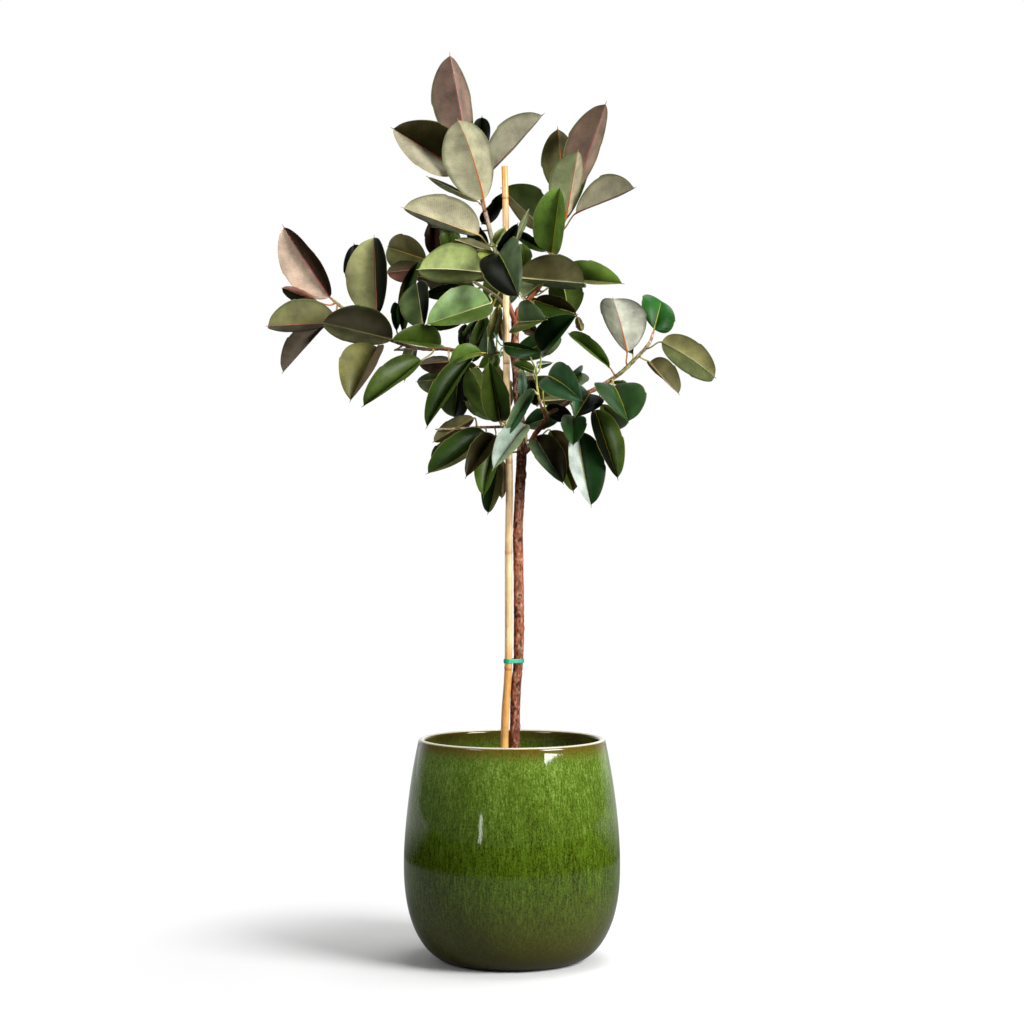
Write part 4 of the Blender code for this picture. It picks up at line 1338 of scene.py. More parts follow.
@dataclass(frozen=True)
class Leaf:
    """One leaf: where it hangs, how it folds along its rib and how it is coloured. In cm.

    Attributes:
        start: Share of the stem's length at which its stalk leaves.
        base: Where the blade begins, as a tabled place.
        tip: Where its drip tip ends.
        half: True half-width of the blade.
        left: Half-width that shows to the left of the way from base to tip.
        right: The same to the right.
        side: The face that shows.
        left_tone_and_light: Colour of the half to the left, with the light or shade that falls on it painted
            in.
        right_tone_and_light: Colour of the half to the right, painted in the same way.
        rib: Colour of the rib.
        bow: How far the rib swings to the left halfway.
        arch: How far the rib rises towards the upper face halfway.
        belly: Share of the length at which the blade is widest.
        blunt: Fullness of the outline: small is full, large is slim.
        heart: How far the margins reach back past the base.
        marks: How spotted the blade is, from 0 to 1.
        wave: Height of the margin's waves.
        skew: How far the left margin lies ahead of the right one.
    """

    start: float
    base: Place
    tip: Place
    half: float
    left: float
    right: float
    side: Side
    left_tone_and_light: Tone
    right_tone_and_light: Tone
    rib: Tone
    bow: float = 0.0
    arch: float = 0.6
    belly: float = 0.45
    blunt: float = 0.6
    heart: float = 0.0
    marks: float = 0.0
    wave: float = 0.16
    skew: float = 0.0


@dataclass(frozen=True)
class Spray:
    """Leaves that follow one another on one stem.

    Attributes:
        shoot: The stem that they grow on.
        place: The part of the plant in their solids' names, or nothing where they have none.
        leaves: The leaves.
    """

    shoot: str
    place: str
    leaves: tuple[Leaf, ...]


# First the leaves with solids of their own, then smaller ones, buds and hidden ones. A leaf's place
# in this table seeds its waves and tints.
SPRAYS = (
    Spray("leader", "crown", (
        Leaf(1, (-8.2, 0.4, 151.5), (-11.7, -2, 169.5), 4.9, 4.9, 2.2, UNDER, T.PLUM, T.MAUVE, T.ROSE,
             belly=0.5),
        Leaf(0.9, (-10, 1.8, 147.5), (-22.7, -1, 155.4), 5.6, 3.4, 5.5, UPPER, T.REED, T.COFFEE, T.RED,
             belly=0.42),
        Leaf(0.72, (-5.3, -1.8, 142), (-10.3, -7, 157.2), 5.3, 5.3, 3.7, UNDER, T.LINEN, T.LINEN, T.ORANGE,
             bow=-0.45, belly=0.5, blunt=0.52),
        Leaf(0.84, (-4.9, 1.6, 146), (6.1, -1, 158.1), 4.6, 4.5, 0.2, UNDER, T.REED, T.REED, T.MAROON,
             belly=0.54),
        # the narrow lower half's chalk white is painted light over a half that lies in shade
        Leaf(0.5, (-6.3, -1.6, 135.3), (-20.8, -6, 140.5), 5, 1.2, 4.9, UNDER, T.CHALK, T.LINEN, T.TAN,
             belly=0.41, marks=0.35),
        Leaf(0.3, (-4.2, -0.4, 128.1), (-17.9, -7, 128.8), 4.7, 2.5, 4.7, UNDER, T.LIME, T.LIME, T.CREAM,
             bow=-0.4),
        Leaf(0.41, (-2.4, -2.2, 131.6), (1.4, -13, 123.4), 4.8, 3.9, 4.5, UPPER, T.SEA, T.NIGHT, T.SPRING,
             bow=0.25, arch=1.4, belly=0.4, blunt=0.5, heart=1.5, skew=-0.28),
    )),
    Spray("right_top_shoot", "top_right", (
        Leaf(0.93, (10, 4, 142), (8.5, 6, 155.6), 3.7, 3.6, 3, UNDER, T.OLIVE, T.KHAKI, T.ORANGE, belly=0.55),
        Leaf(1, (12, 2.6, 144), (17.7, -2, 160.3), 4.6, 4.5, 1.8, UNDER, T.PLUM, T.MAUVE, T.RED),
        Leaf(0.84, (10.2, -0.6, 138.8), (12.4, -6, 151.3), 4.3, 4.2, 1.7, UNDER, T.SAGE, T.LINEN, T.ORANGE,
             belly=0.45),
        Leaf(0.8, (12, 0.2, 139.3), (23.2, -6, 144.2), 4.4, 4.3, 0.2, UNDER, T.REED, T.REED, T.MAROON,
             belly=0.54),
        Leaf(0.5, (7.6, -1.6, 132), (9, -7, 144.5), 4.1, 4.1, 1.6, UPPER, T.MEADOW, T.MEADOW, T.YELLOW,
             belly=0.44, blunt=0.42, marks=0.7),
        Leaf(0.62, (5.6, 3.4, 136.7), (-2.2, 8, 144.2), 4.8, 1.9, 4.7, UNDER, T.WILLOW, T.MOSS, T.TAN,
             belly=0.54),
        Leaf(0.22, (1, -1.4, 127.3), (14, -8, 126.2), 4.8, 4.7, 1.5, UNDER, T.BRONZE, T.FROND, T.CREAM,
             belly=0.47, blunt=0.55),
        Leaf(0.34, (9, 2.6, 127), (21.1, -3, 126.1), 4, 3.7, 0.5, UPPER, T.MEADOW, T.OLIVE, T.YELLOW),
    )),
    Spray("back_left_shoot", "back_left", (
        Leaf(1, (-16, 11, 130.6), (-23.4, 18, 133.1), 3.8, 3.4, 3.2, UPPER, T.OLIVE, T.BRONZE, T.TAN,
             belly=0.39),
        Leaf(0.25, (-4.2, -1.2, 122.4), (-16.4, -8, 118.4), 4.8, 2.2, 4.7, UPPER, T.FERN, T.APPLE, T.CREAM),
    )),
    Spray("left_branch", "left", (
        # the pale pink half is painted light from the left, the dark brown half painted shade
        Leaf(1, (-34.1, 0.8, 123.7), (-43, -1, 137.2), 4.7, 4.7, 2, UPPER, T.SHELL, T.COCOA, T.CORAL),
        Leaf(0.96, (-32.8, 0.4, 118.9), (-46.1, -8, 118.2), 4.7, 1.3, 4.6, UNDER, T.LINEN, T.OLIVE, T.RED,
             belly=0.42),
        Leaf(0.91, (-35.5, 2.2, 117.8), (-43.1, 4, 109.3), 3.6, 0.1, 3.5, UNDER, T.TAUPE, T.TAUPE, T.TAUPE),
        Leaf(0.62, (-22.4, -1.6, 115.7), (-35.8, -8, 119), 4.8, 2.3, 4.7, UNDER, T.WILLOW, T.COFFEE, T.BRONZE,
             belly=0.4),
        Leaf(0.71, (-25.2, 2.4, 120.4), (-25.8, 5, 135.3), 5.5, 5.5, 2.1, UPPER, T.WILLOW, T.NIGHT, T.ROSE,
             blunt=0.5),
        Leaf(0.45, (-16.6, -1, 118), (-17.9, -11, 126.4), 3.6, 3.6, 1.9, UNDER, T.APPLE, T.INK, T.CREAM),
        Leaf(0.36, (-13.4, -0.8, 114.6), (-22.9, -10, 115.7), 3.5, 0.5, 3.4, UPPER, T.MOSS, T.MOSS, T.ORANGE),
        Leaf(0.68, (-25.2, -0.6, 114.2), (-30.4, -9, 103.9), 5.3, 1.3, 5.2, UPPER, T.TAUPE, T.OLIVE, T.TAN),
        Leaf(0.42, (-17, -1.2, 111.7), (-28.2, -6, 103), 4.1, 0.4, 4, UPPER, T.FERN, T.FERN, T.TAN, bow=0.4,
             marks=0.8),
        Leaf(0.14, (-7.4, -3, 112.1), (-16.2, -8, 98.9), 3.6, 0.2, 3.5, UPPER, T.MOSS, T.IVY, T.TAN),
    )),
    Spray("low_left_twig", "low_left", (
        Leaf(0.27, (-2.6, -2.4, 100.8), (-8, -11, 110.4), 3.3, 3, 1.5, UNDER, T.MEADOW, T.MOSS, T.TAN),
    )),
    Spray("left_branch", "low_left", (
        Leaf(0.13, (-4.2, 1.8, 110.9), (-1.8, 7, 101.1), 3.1, 3, 3, UPPER, T.OLIVE, T.IVY, T.YELLOW),
    )),
    Spray("low_left_twig", "low_left", (
        Leaf(0.45, (-5, -1, 98.2), (-16.2, -6, 90.5), 4, 0.9, 4, UPPER, T.BRONZE, T.IVY, T.YELLOW, bow=1),
    )),
    Spray("trunk", "low_left", (
        Leaf(0.79, (-2.4, 3, 95.4), (-4.6, 7, 82.9), 2.6, 1.1, 2.5, UPPER, T.OLIVE, T.BOTTLE, T.TAN, bow=0.5),
    )),
    Spray("right_branch", "centre", (
        Leaf(0.06, (2.4, -4.4, 99.6), (-3.7, -14, 91.2), 3.1, 1.2, 2.9, UPPER, T.FROND, T.MIST, T.CREAM),
    )),
    Spray("trunk", "centre", (
        Leaf(0.975, (1.3, -2.8, 118.9), (6.6, -12, 119.4), 3.9, 3.8, 1.7, UPPER, T.SEA, T.MOSS, T.CREAM,
             blunt=0.5, heart=-0.7, skew=0.12),
    )),
    Spray("centre_shoot", "centre", (
        Leaf(0.66, (5.7, -3.6, 113.4), (12.3, -12, 120.4), 3.8, 3.7, 0.7, UPPER, T.PINE, T.PINE, T.SPRING),
    )),
    Spray("right_branch", "centre", (
        Leaf(0.27, (6.8, -4, 108.9), (13.3, -15, 104), 3.8, 3.2, 3, UPPER, T.FOREST, T.FOREST, T.YELLOW,
             bow=0.4),
    )),
    Spray("right_branch", "right", (
        Leaf(0.66, (19, -3, 107), (21.8, -14, 100), 4.7, 4.6, 3.4, UPPER, T.BOTTLE, T.BOTTLE, T.YELLOW,
             bow=0.3, arch=0.8, heart=-0.7, blunt=0.5, skew=0.4),
        Leaf(0.78, (21.5, 1.6, 113.4), (18.8, -7, 123.6), 4.8, 2.9, 4.8, UNDER, T.CHALK, T.CHALK, T.ORANGE,
             bow=-0.2, belly=0.53, blunt=0.5),
        Leaf(1, (26.6, -0.2, 117.6), (28, 2.4, 123), 3.6, 3.5, 3.2, UPPER, T.EMERALD, T.EMERALD, T.SPRING,
             blunt=0.4, skew=0.5),
        Leaf(0.92, (28, -2, 115.2), (38.2, -8, 108.4), 3.3, 3.2, 2.5, UNDER, T.OLIVE, T.LIME, T.BRONZE,
             bow=0.4, belly=0.4, blunt=0.5, skew=-0.2),
        Leaf(0.86, (25.8, 1.4, 111.4), (31.4, 7, 105.3), 3, 2.9, 0.4, UNDER, T.BRONZE, T.BRONZE, T.TAN,
             bow=-0.1, blunt=0.5, wave=0.3),
        Leaf(0.69, (18.2, 1.2, 110.5), (10.4, 7, 117), 2.5, 0.3, 2, UPPER, T.FERN, T.MEADOW, T.ORANGE),
        Leaf(0.52, (15.5, -2.4, 102.4), (19.9, -7, 89.3), 3.4, 3.2, 1.6, UPPER, T.MOSS, T.NIGHT, T.YELLOW),
        # its pale half is painted sheen
        Leaf(0.42, (12.4, -3.4, 98.3), (14.9, -9, 84.2), 4.1, 4.1, 2.1, UPPER, T.PINE, T.PAINTED_SHEEN, T.YELLOW,
             bow=-0.4),
    )),
    Spray("back_branch", "back", (
        Leaf(1, (-3.6, 16.4, 122), (1.5, 18.6, 133), 4, 3.7, 3.7, UNDER, T.IVY, T.MOSS, T.YELLOW),
        Leaf(0.9, (-6.6, 14.4, 120), (-15.6, 18.4, 130.5), 4, 3.6, 3.6, UPPER, T.BOTTLE, T.IVY, T.SPRING),
        Leaf(0.55, (-6.6, 12.8, 110.6), (-13.4, 18.4, 103.6), 3.6, 3.2, 3.2, UNDER, T.MOSS, T.IVY, T.YELLOW),
    )),
    Spray("leader", "", (
        Leaf(0.94, (-6, 2.5, 147), (-5.6, 4, 157.6), 2, 1.5, 1.5, UPPER, T.NIGHT, T.NIGHT, T.PINE, belly=0.7),
        Leaf(0.45, (0, -1.5, 132.5), (3.2, -2.5, 140.2), 1.9, 0.65, 0.65, UNDER, T.SAGE, T.SAGE, T.CREAM),
        Leaf(0.44, (-2.3, -1.6, 132), (1.2, -4, 137.6), 2.2, 1.2, 1.3, UPPER, T.NIGHT, T.NIGHT, T.MOSS,
             wave=0.3),
        Leaf(0.54, (0.8, 2, 135.5), (6.4, 1.5, 132), 1.8, 1.1, 0.9, UPPER, T.INK, T.IVY, T.MOSS),
        Leaf(0.5, (-3.2, -1.4, 133.6), (-1.2, -3, 136.8), 1.2, 0.9, 0.9, UPPER, T.LIME, T.LIME, T.SPRING),
        Leaf(0.66, (-5.6, 2, 137.4), (-0.6, 2.4, 143.6), 2.2, 1.5, 1.4, UPPER, T.NIGHT, T.NIGHT, T.IVY,
             belly=0.28, blunt=0.8, wave=0.7),
        Leaf(0.76, (-6.6, 1.8, 141.6), (-16.1, 2.2, 146.3), 1.9, 0.7, 0.5, UNDER, T.SAGE, T.INK, T.TAN),
        Leaf(0.43, (-3.8, -0.4, 132), (-10.7, -1, 134.4), 1.9, 0.9, 1.2, UNDER, T.KHAKI, T.KHAKI, T.CREAM),
        Leaf(0.41, (-3.4, -0.6, 132), (-6.8, -0.8, 132.4), 1.6, 1.4, 0.3, UPPER, T.SPRING, T.SPRING, T.CREAM),
        Leaf(0.52, (-4.5, 2, 133), (-8, 5, 136.5), 1.6, 1.5, 1.4, UPPER, T.INK, T.INK, T.MOSS),
        Leaf(0.8, (-6, 4, 143), (-8.6, 15, 153.6), 4, 3.2, 2.4, UPPER, T.IVY, T.BOTTLE, T.SPRING),
        Leaf(0.6, (-7.4, 5, 136.4), (-15.6, 12, 138.2), 3.8, 1.2, 3.2, UPPER, T.PINE, T.PINE, T.YELLOW),
        Leaf(0.34, (-4.6, 4.6, 128.6), (-14, 13, 128.6), 3.8, 2, 3.4, UNDER, T.OLIVE, T.SAGE, T.CREAM),
        Leaf(0.2, (0.4, 6, 128), (1.6, 17, 125.4), 3.8, 2.2, 3.2, UPPER, T.BOTTLE, T.PINE, T.SPRING),
    )),
    Spray("right_top_shoot", "", (
        Leaf(0.36, (6.2, 0.2, 126.8), (1.6, -0.3, 123.3), 2.6, 0.3, 2.4, UNDER, T.SAGE, T.SAGE, T.CREAM),
        Leaf(0.3, (9.4, 4.6, 126.9), (10.9, 9, 119.6), 3.4, 3.3, 3, UNDER, T.MOSS, T.FERN, T.SPRING),
        Leaf(0.2, (4.4, 1.2, 123), (12.3, 0.6, 120.4), 2.7, 1.9, 2.2, UPPER, T.COFFEE, T.IVY, T.TAN),
        Leaf(0.24, (12.2, 1, 119.9), (13.1, 1, 117.2), 0.8, 0.6, 0.6, UNDER, T.KHAKI, T.KHAKI, T.TAN),
        Leaf(0.74, (10, 6, 138), (13.4, 16, 149), 3.8, 3.2, 1.6, UPPER, T.BOTTLE, T.IVY, T.YELLOW),
        Leaf(0.42, (8.4, 6, 128.8), (13, 15, 127), 3.4, 2.4, 1.2, UPPER, T.MOSS, T.BOTTLE, T.SPRING),
    )),
    Spray("back_left_shoot", "", (
        Leaf(0.9, (-16.6, 9, 129), (-23.6, 8, 128.2), 2.6, 2, 1.8, UNDER, T.CLAY, T.UMBER, T.ROSE),
        Leaf(0.55, (-10, 7, 126.6), (-18.5, 6, 127.6), 2.2, 1.6, 1, UNDER, T.TAUPE, T.COCOA, T.TAN),
        Leaf(0.42, (-9, 6, 125), (-16.5, 5, 124), 2, 1.4, 1.4, UPPER, T.NIGHT, T.NIGHT, T.MOSS),
        Leaf(0.84, (-14.5, 8, 131.5), (-14.5, 7, 138.6), 2.2, 1.8, 1.8, UPPER, T.COCOA, T.COCOA, T.MAROON),
        Leaf(0.64, (-11.5, 7, 131.8), (-11.8, 6, 137.6), 2.2, 1.8, 1.8, UPPER, T.FERN, T.FERN, T.SPRING),
    )),
    Spray("left_branch", "", (
        Leaf(0.98, (-36.6, 1, 122.9), (-43.2, 1.4, 125.4), 1.8, 1.4, 1, UPPER, T.INK, T.SALMON, T.CORAL),
        Leaf(0.8, (-27, 6, 122.5), (-29.6, 11, 133.8), 3, 2.9, 2, UPPER, T.NIGHT, T.NIGHT, T.MOSS),
        Leaf(0.6, (-21.6, 1.8, 117.5), (-21.9, 3, 122.8), 1.3, 0.7, 0.8, UPPER, T.PINE, T.PINE, T.MOSS),
        Leaf(0.57, (-20.5, 1.6, 117.4), (-17.2, 3, 130.6), 2.4, 0.7, 1.8, UPPER, T.COFFEE, T.IVY, T.TAN,
             bow=1.6),
        Leaf(0.32, (-11.4, 0.6, 111.6), (-17.6, 0.9, 111), 2.5, 1.9, 1.3, UNDER, T.PLUM, T.TAUPE, T.TAN),
        Leaf(0.15, (-5.7, -2.6, 113.2), (-11.8, -3.6, 110.6), 2.3, 0.7, 2.2, UPPER, T.MEADOW, T.MEADOW,
             T.YELLOW, bow=-0.6),
        Leaf(0.34, (-12, 0.6, 108.5), (-18, 0.4, 107.8), 2.8, 2.5, 1.4, UNDER, T.SAGE, T.FERN, T.CREAM),
        Leaf(0.58, (-22, 1, 113.7), (-17.6, 0, 114), 1.4, 0.25, 0.25, UNDER, T.LINEN, T.LINEN, T.TAN),
        Leaf(0.27, (-9.8, -1.2, 111.2), (-10.8, 8, 100.9), 3.6, 2.2, 3.5, UPPER, T.NIGHT, T.MEADOW, T.SPRING),
        Leaf(0.3, (-9.4, 1.8, 114.2), (-8.6, 2.6, 118.6), 1.4, 1, 1.1, UPPER, T.NIGHT, T.NIGHT, T.MOSS),
        Leaf(0.17, (-6.2, 3, 119.3), (-9.2, 3.4, 113.8), 2, 1.6, 1.4, UPPER, T.IVY, T.IVY, T.SPRING),
        Leaf(0.14, (-5, 2.6, 120), (-7.4, 3, 111.2), 2.2, 1.7, 1.5, UPPER, T.IVY, T.MOSS, T.SPRING),
        Leaf(0.1, (-2.4, 1.4, 121.8), (-4.4, 1.2, 115), 1.3, 1.1, 0.9, UPPER, T.OLIVE, T.OLIVE, T.YELLOW),
        Leaf(0.12, (-4.5, 0.8, 118), (-4.6, -2, 113), 1.9, 1.4, 1.4, UNDER, T.SEA, T.SEA, T.CREAM, belly=0.6),
        Leaf(0.09, (-3.6, 0.2, 112.6), (-6.3, -1.4, 110.3), 1.3, 0.9, 0.9, UPPER, T.FERN, T.MOSS, T.SPRING),
        Leaf(0.07, (-2.6, 0.4, 112.6), (-4, 0.8, 109.6), 1.2, 0.8, 0.9, UPPER, T.MEADOW, T.FERN, T.SPRING),
        Leaf(0.74, (-25, 4, 117), (-33.4, 13, 119), 3.4, 1.6, 3, UPPER, T.IVY, T.BOTTLE, T.SPRING),
        Leaf(0.5, (-18.6, 4, 113.4), (-20.2, 10, 107.6), 3, 0.8, 1.6, UNDER, T.MOSS, T.OLIVE, T.CREAM),
    )),
    Spray("low_left_twig", "", (
        Leaf(0.2, (-3, 0.4, 101), (-9, -0.4, 104.3), 2.2, 1.4, 0.8, UNDER, T.APPLE, T.KHAKI, T.TAN),
        Leaf(0.55, (-7.2, 0.5, 101), (-14.9, 0.2, 96.4), 2.6, 1.2, 1.9, UNDER, T.BRONZE, T.KHAKI, T.TAN),
        Leaf(0.34, (-3.2, -2.6, 97.6), (-8.8, -12, 89.7), 2.8, 1.1, 2.6, UPPER, T.COFFEE, T.COFFEE, T.TAN),
        Leaf(0.2, (-2.2, -3.4, 100.6), (-4.4, -12.5, 112.2), 3.3, 2.6, 2.3, UPPER, T.MOSS, T.IVY, T.YELLOW,
             marks=0.4),
    )),
    Spray("trunk", "", (
        Leaf(0.8, (-3.2, -0.4, 96.2), (-5.4, -4, 86.1), 2.7, 1.2, 2.6, UPPER, T.FERN, T.FERN, T.SPRING),
        Leaf(0.77, (-1.8, 1.4, 93), (-1.9, 1.6, 85.8), 1.2, 0.9, 0.9, UNDER, T.KHAKI, T.OLIVE, T.TAN),
    )),
    Spray("low_left_twig", "", (
        Leaf(0.7, (-8, 4.5, 96.8), (-14.6, 13, 91.6), 3.2, 0.8, 3, UPPER, T.MOSS, T.IVY, T.SPRING),
    )),
    Spray("trunk", "", (
        Leaf(0.83, (-2, 4, 102.6), (-7.6, 13, 108.4), 3, 2.2, 2.2, UPPER, T.BOTTLE, T.MOSS, T.SPRING),
        Leaf(0.955, (-1.4, -1.4, 114.6), (5.4, -6, 113.4), 1.8, 0.8, 1.7, UPPER, T.PINE, T.BOTTLE, T.SPRING),
        Leaf(0.91, (1.9, -0.9, 110), (2, -1.6, 104.3), 0.9, 0.7, 0.7, UPPER, T.TEAL, T.TEAL, T.SPRING),
        Leaf(0.98, (1.6, 1.8, 119), (4.7, 1.8, 116.6), 1.6, 1.2, 1.2, UPPER, T.COFFEE, T.COFFEE, T.TAN),
        # its whitish rib is painted sheen
        Leaf(0.79, (4.3, 1.8, 97.4), (9.7, -6, 88.5), 3.3, 3.2, 1.8, UPPER, T.COFFEE, T.SEA, T.PAINTED_SHEEN),
        Leaf(0.96, (-1.6, 2.2, 115.6), (-2.6, 4.4, 121), 1, 0.7, 0.6, UNDER, T.UMBER, T.UMBER, T.TAN),
    )),
    Spray("centre_shoot", "", (
        Leaf(0.62, (4, -2.6, 109.7), (0.1, -3.4, 111.3), 1.3, 0.5, 1.2, UPPER, T.PINE, T.MOSS, T.SPRING),
        Leaf(0.7, (4.8, -1, 111), (7.8, 0.6, 111.4), 1.2, 0.5, 0.7, UNDER, T.STEEL, T.FOREST, T.CREAM),
        Leaf(0.3, (5.6, 0.2, 104.2), (10.8, 0.8, 104.5), 1.4, 0.8, 1, UNDER, T.OLIVE, T.OLIVE, T.CREAM),
        Leaf(0.25, (4.6, 0.2, 103.4), (3.3, 0.9, 108.2), 1.6, 1.2, 1.1, UPPER, T.INK, T.INK, T.MOSS),
        Leaf(0.58, (3.9, -0.6, 109), (1.6, 0.6, 108.8), 1.1, 0.8, 0.8, UNDER, T.REED, T.REED, T.CREAM),
        Leaf(0.38, (3.9, -3, 106.3), (-1.6, -9, 96.9), 1.9, 1, 1.3, UPPER, T.FOREST, T.SEA, T.CREAM),
    )),
    Spray("right_branch", "", (
        Leaf(0.5, (14.4, -2, 105.4), (11.7, -9, 101), 3.6, 2.9, 3, UPPER, T.NIGHT, T.FOREST, T.YELLOW),
        Leaf(0.63, (18.8, -0.2, 107.6), (21.6, 0.2, 107.3), 0.7, 0.5, 0.3, UPPER, T.FERN, T.FERN, T.YELLOW),
        Leaf(0.4, (11.6, -2.6, 101.2), (11.4, -9, 95.7), 2.6, 2.3, 2.1, UPPER, T.PINE, T.BOTTLE, T.MOSS,
             wave=0.4),
        Leaf(0.24, (6.4, 0.4, 103), (11.4, 0.2, 100.8), 1.7, 1.4, 1.4, UPPER, T.NIGHT, T.NIGHT, T.MOSS),
        Leaf(0.17, (9, 2.4, 101.8), (2.1, 2.2, 99.5), 2.3, 1.6, 2.1, UPPER, T.SEA, T.FOREST, T.CREAM),
        Leaf(0.1, (7.2, 2.6, 98.6), (11.6, 2.2, 86.9), 3.9, 3.7, 1.6, UPPER, T.UMBER, T.FERN, T.TAN,
             marks=0.5),
        Leaf(0.3, (8, 5, 106), (13, 14, 109.6), 3.4, 1.1, 2, UPPER, T.BOTTLE, T.MOSS, T.SPRING),
        Leaf(0.58, (16.6, 4.6, 103.6), (19.4, 14, 98.6), 3.4, 3, 2.2, UPPER, T.MOSS, T.IVY, T.YELLOW),
        Leaf(0.8, (22.6, 5, 113), (21, 15, 119.6), 3, 2.6, 1.2, UPPER, T.FOREST, T.MOSS, T.SPRING),
    )),
    Spray("back_branch", "", (
        Leaf(0.75, (0, 13, 112.4), (9.4, 17, 116.6), 3.4, 2.4, 2.4, UPPER, T.BOTTLE, T.IVY, T.SPRING),
        Leaf(0.4, (1.6, 11, 107.6), (9.8, 16, 106), 3.4, 2.2, 2.6, UPPER, T.MOSS, T.FERN, T.YELLOW),
    )),
    Spray("leader", "", (
        Leaf(0.24, (1.2, 3, 127.6), (2, 4.4, 133.8), 2.3, 1.9, 1.9, UPPER, T.SEA, T.FERN, T.SPRING),
    )),
    Spray("left_branch", "", (
        Leaf(0.28, (-9.4, 4, 118.8), (-15.4, 6, 118.2), 1.9, 0.9, 1.8, UPPER, T.INK, T.NIGHT, T.MOSS),
    )),
    Spray("leader", "", (
        Leaf(0.22, (2.6, 4, 123.4), (9, 10, 119.4), 2.8, 1.8, 2.2, UPPER, T.MOSS, T.IVY, T.SPRING),
    )),
)


@dataclass
class Foliage:
    """All leaves, each one closed skin: a round stalk that widens into a folded blade. In cm."""

    across: int = 17                    # points from margin to margin on each face
    stalk_stations: int = 10
    blade_stations: int = 40
    stalk_radius: float = 0.16
    tip_share: float = 0.048            # share of the blade's length taken by its drip tip
    thickness: float = 0.05             # half the blade's thickness
    keel: float = 0.13                  # how far the rib stands out of the under face
    groove: float = 0.04                # how deep it lies in the upper face
    rib_width: float = 0.22
    crown: float = 0.1                  # how far each half arches, as a share of its width
    wave_length: float = 3.4
    chart: float = 20.0                 # length of blade that one unit of the UV map covers

    def outline(self, leaf: Leaf, u: Array) -> Array:
        """Half-width as a share of the widest: sin(pi * body^power)^blunt.

        The power moves the widest place to the leaf's belly, and body ends where the drip tip
        begins.

        Args:
            leaf: The leaf.
            u: Shares of the length from base to tip.

        Returns:
            Shares of the half-width.
        """
        body = np.minimum(u / (1 - self.tip_share), 1.0)
        power = math.log(0.5) / math.log(leaf.belly)
        return np.maximum(np.sin(math.pi * body ** power), 0.0) ** leaf.blunt

    def axes(self, leaf: Leaf) -> tuple[list[Array], Array, Array]:
        """Corners of the rib's Bezier curve, and the ways to the left and out of the upper face.

        Left is square to both the leaf's length and the line of sight to its middle.
        """
        base, tip = sight(leaf.base), sight(leaf.tip)
        along = unit(tip - base)
        look = unit((base + tip) / 2 - np.array([0.0, -EYE_DISTANCE, EYE_HEIGHT]))
        left = unit(np.cross(along, look))
        lift = np.cross(along, left) * leaf.side.value
        middle = (base + tip) / 2 + left * (2 * leaf.bow) + lift * (2 * leaf.arch)
        return [base, middle, tip], left, lift

    def blade(self, leaf: Leaf, number: int) -> tuple[Array, Array, Array, Array]:
        """Points of the blade's two faces.

        The rib is a Bezier curve. From it each half runs out flat at its own fold angle, whose
        cosine is the width that shows over the true one. A heart-shaped base reaches back by
        (1 - u)^2 and a skewed blade has its left margin further on. Then each half arches by
        sin(pi s), waves towards the margin by s^2.2, and is thickened along its own normal, by
        less towards the margin.

        Args:
            leaf: The leaf.
            number: Seeds its waves.

        Returns:
            Rings (stations, 2 * across - 2, 3), the share u of each, and for each ring point its
            place s from the left margin (1) to the right (-1) and its distance from the rib.
        """
        corners, left, lift = self.axes(leaf)
        u = 0.5 - 0.5 * np.cos(np.linspace(0.0, math.pi, self.blade_stations))
        spine = bezier(corners, u)
        ahead = unit(np.gradient(spine, axis=0))
        width = leaf.half * self.outline(leaf, u) + self.stalk_radius * (1 - u) ** 0.7 + 0.02
        width = width + 0.22 * np.clip((1 - u) / 0.09, 0.0, 1.0) ** 1.3 * (u > 0.5)
        even = np.linspace(1.0, -1.0, self.across)
        s = np.sign(even) * np.abs(even) ** 1.25
        out = np.abs(s)[None, :, None]
        cosine = np.clip(np.where(s > 0, leaf.left, leaf.right) / leaf.half, -1.0, 1.0)[:, None]
        hand = np.sign(s)[:, None] * left
        span = hand * cosine + lift * np.sqrt(1 - cosine ** 2)
        rise = lift * cosine - hand * np.sqrt(1 - cosine ** 2)
        wide = width[:, None, None]
        sheet = spine[:, None] + span * out * wide
        sheet = sheet - ahead[:, None] * out * (leaf.heart * (1 - u) ** 2)[:, None, None]
        sheet = sheet + ahead[:, None] * s[None, :, None] * (leaf.skew * wide)
        sheet = sheet + rise * (self.crown * wide * np.sin(math.pi * out))
        length = float(np.linalg.norm(corners[-1] - corners[0]))
        waves = value_noise(u[:, None] * length / self.wave_length + 7.3 * number,
                            3.0 + s[None, :] * 1.2, Seed.LEAF_WAVES + number)
        waves = waves[..., None] * out ** 2.2 * np.sin(math.pi * u)[:, None, None]
        sheet = sheet + rise * (leaf.wave * waves)
        normal = unit(np.cross(np.gradient(sheet, axis=1), np.gradient(sheet, axis=0)))
        normal = normal * np.sign(np.sum(normal * lift, axis=-1).mean())
        distance = s[None, :] * width[:, None]
        rib = np.exp(-(distance / self.rib_width) ** 2) * (1 - 0.8 * u)[:, None]
        margin = np.sqrt(np.clip(1.0 - s[None, :] ** 8, 0.0, 1.0))
        thick = self.thickness * (1 - 0.35 * u)[:, None] * margin
        top = sheet + normal * (thick - self.groove * rib)[..., None]
        bottom = sheet - normal * (thick + self.keel * rib * margin)[..., None]
        rings = np.concatenate([top, bottom[:, -2:0:-1]], axis=1)
        both = np.concatenate([s, s[-2:0:-1]])
        return rings, u, both, np.concatenate([distance, distance[:, -2:0:-1]], axis=1)

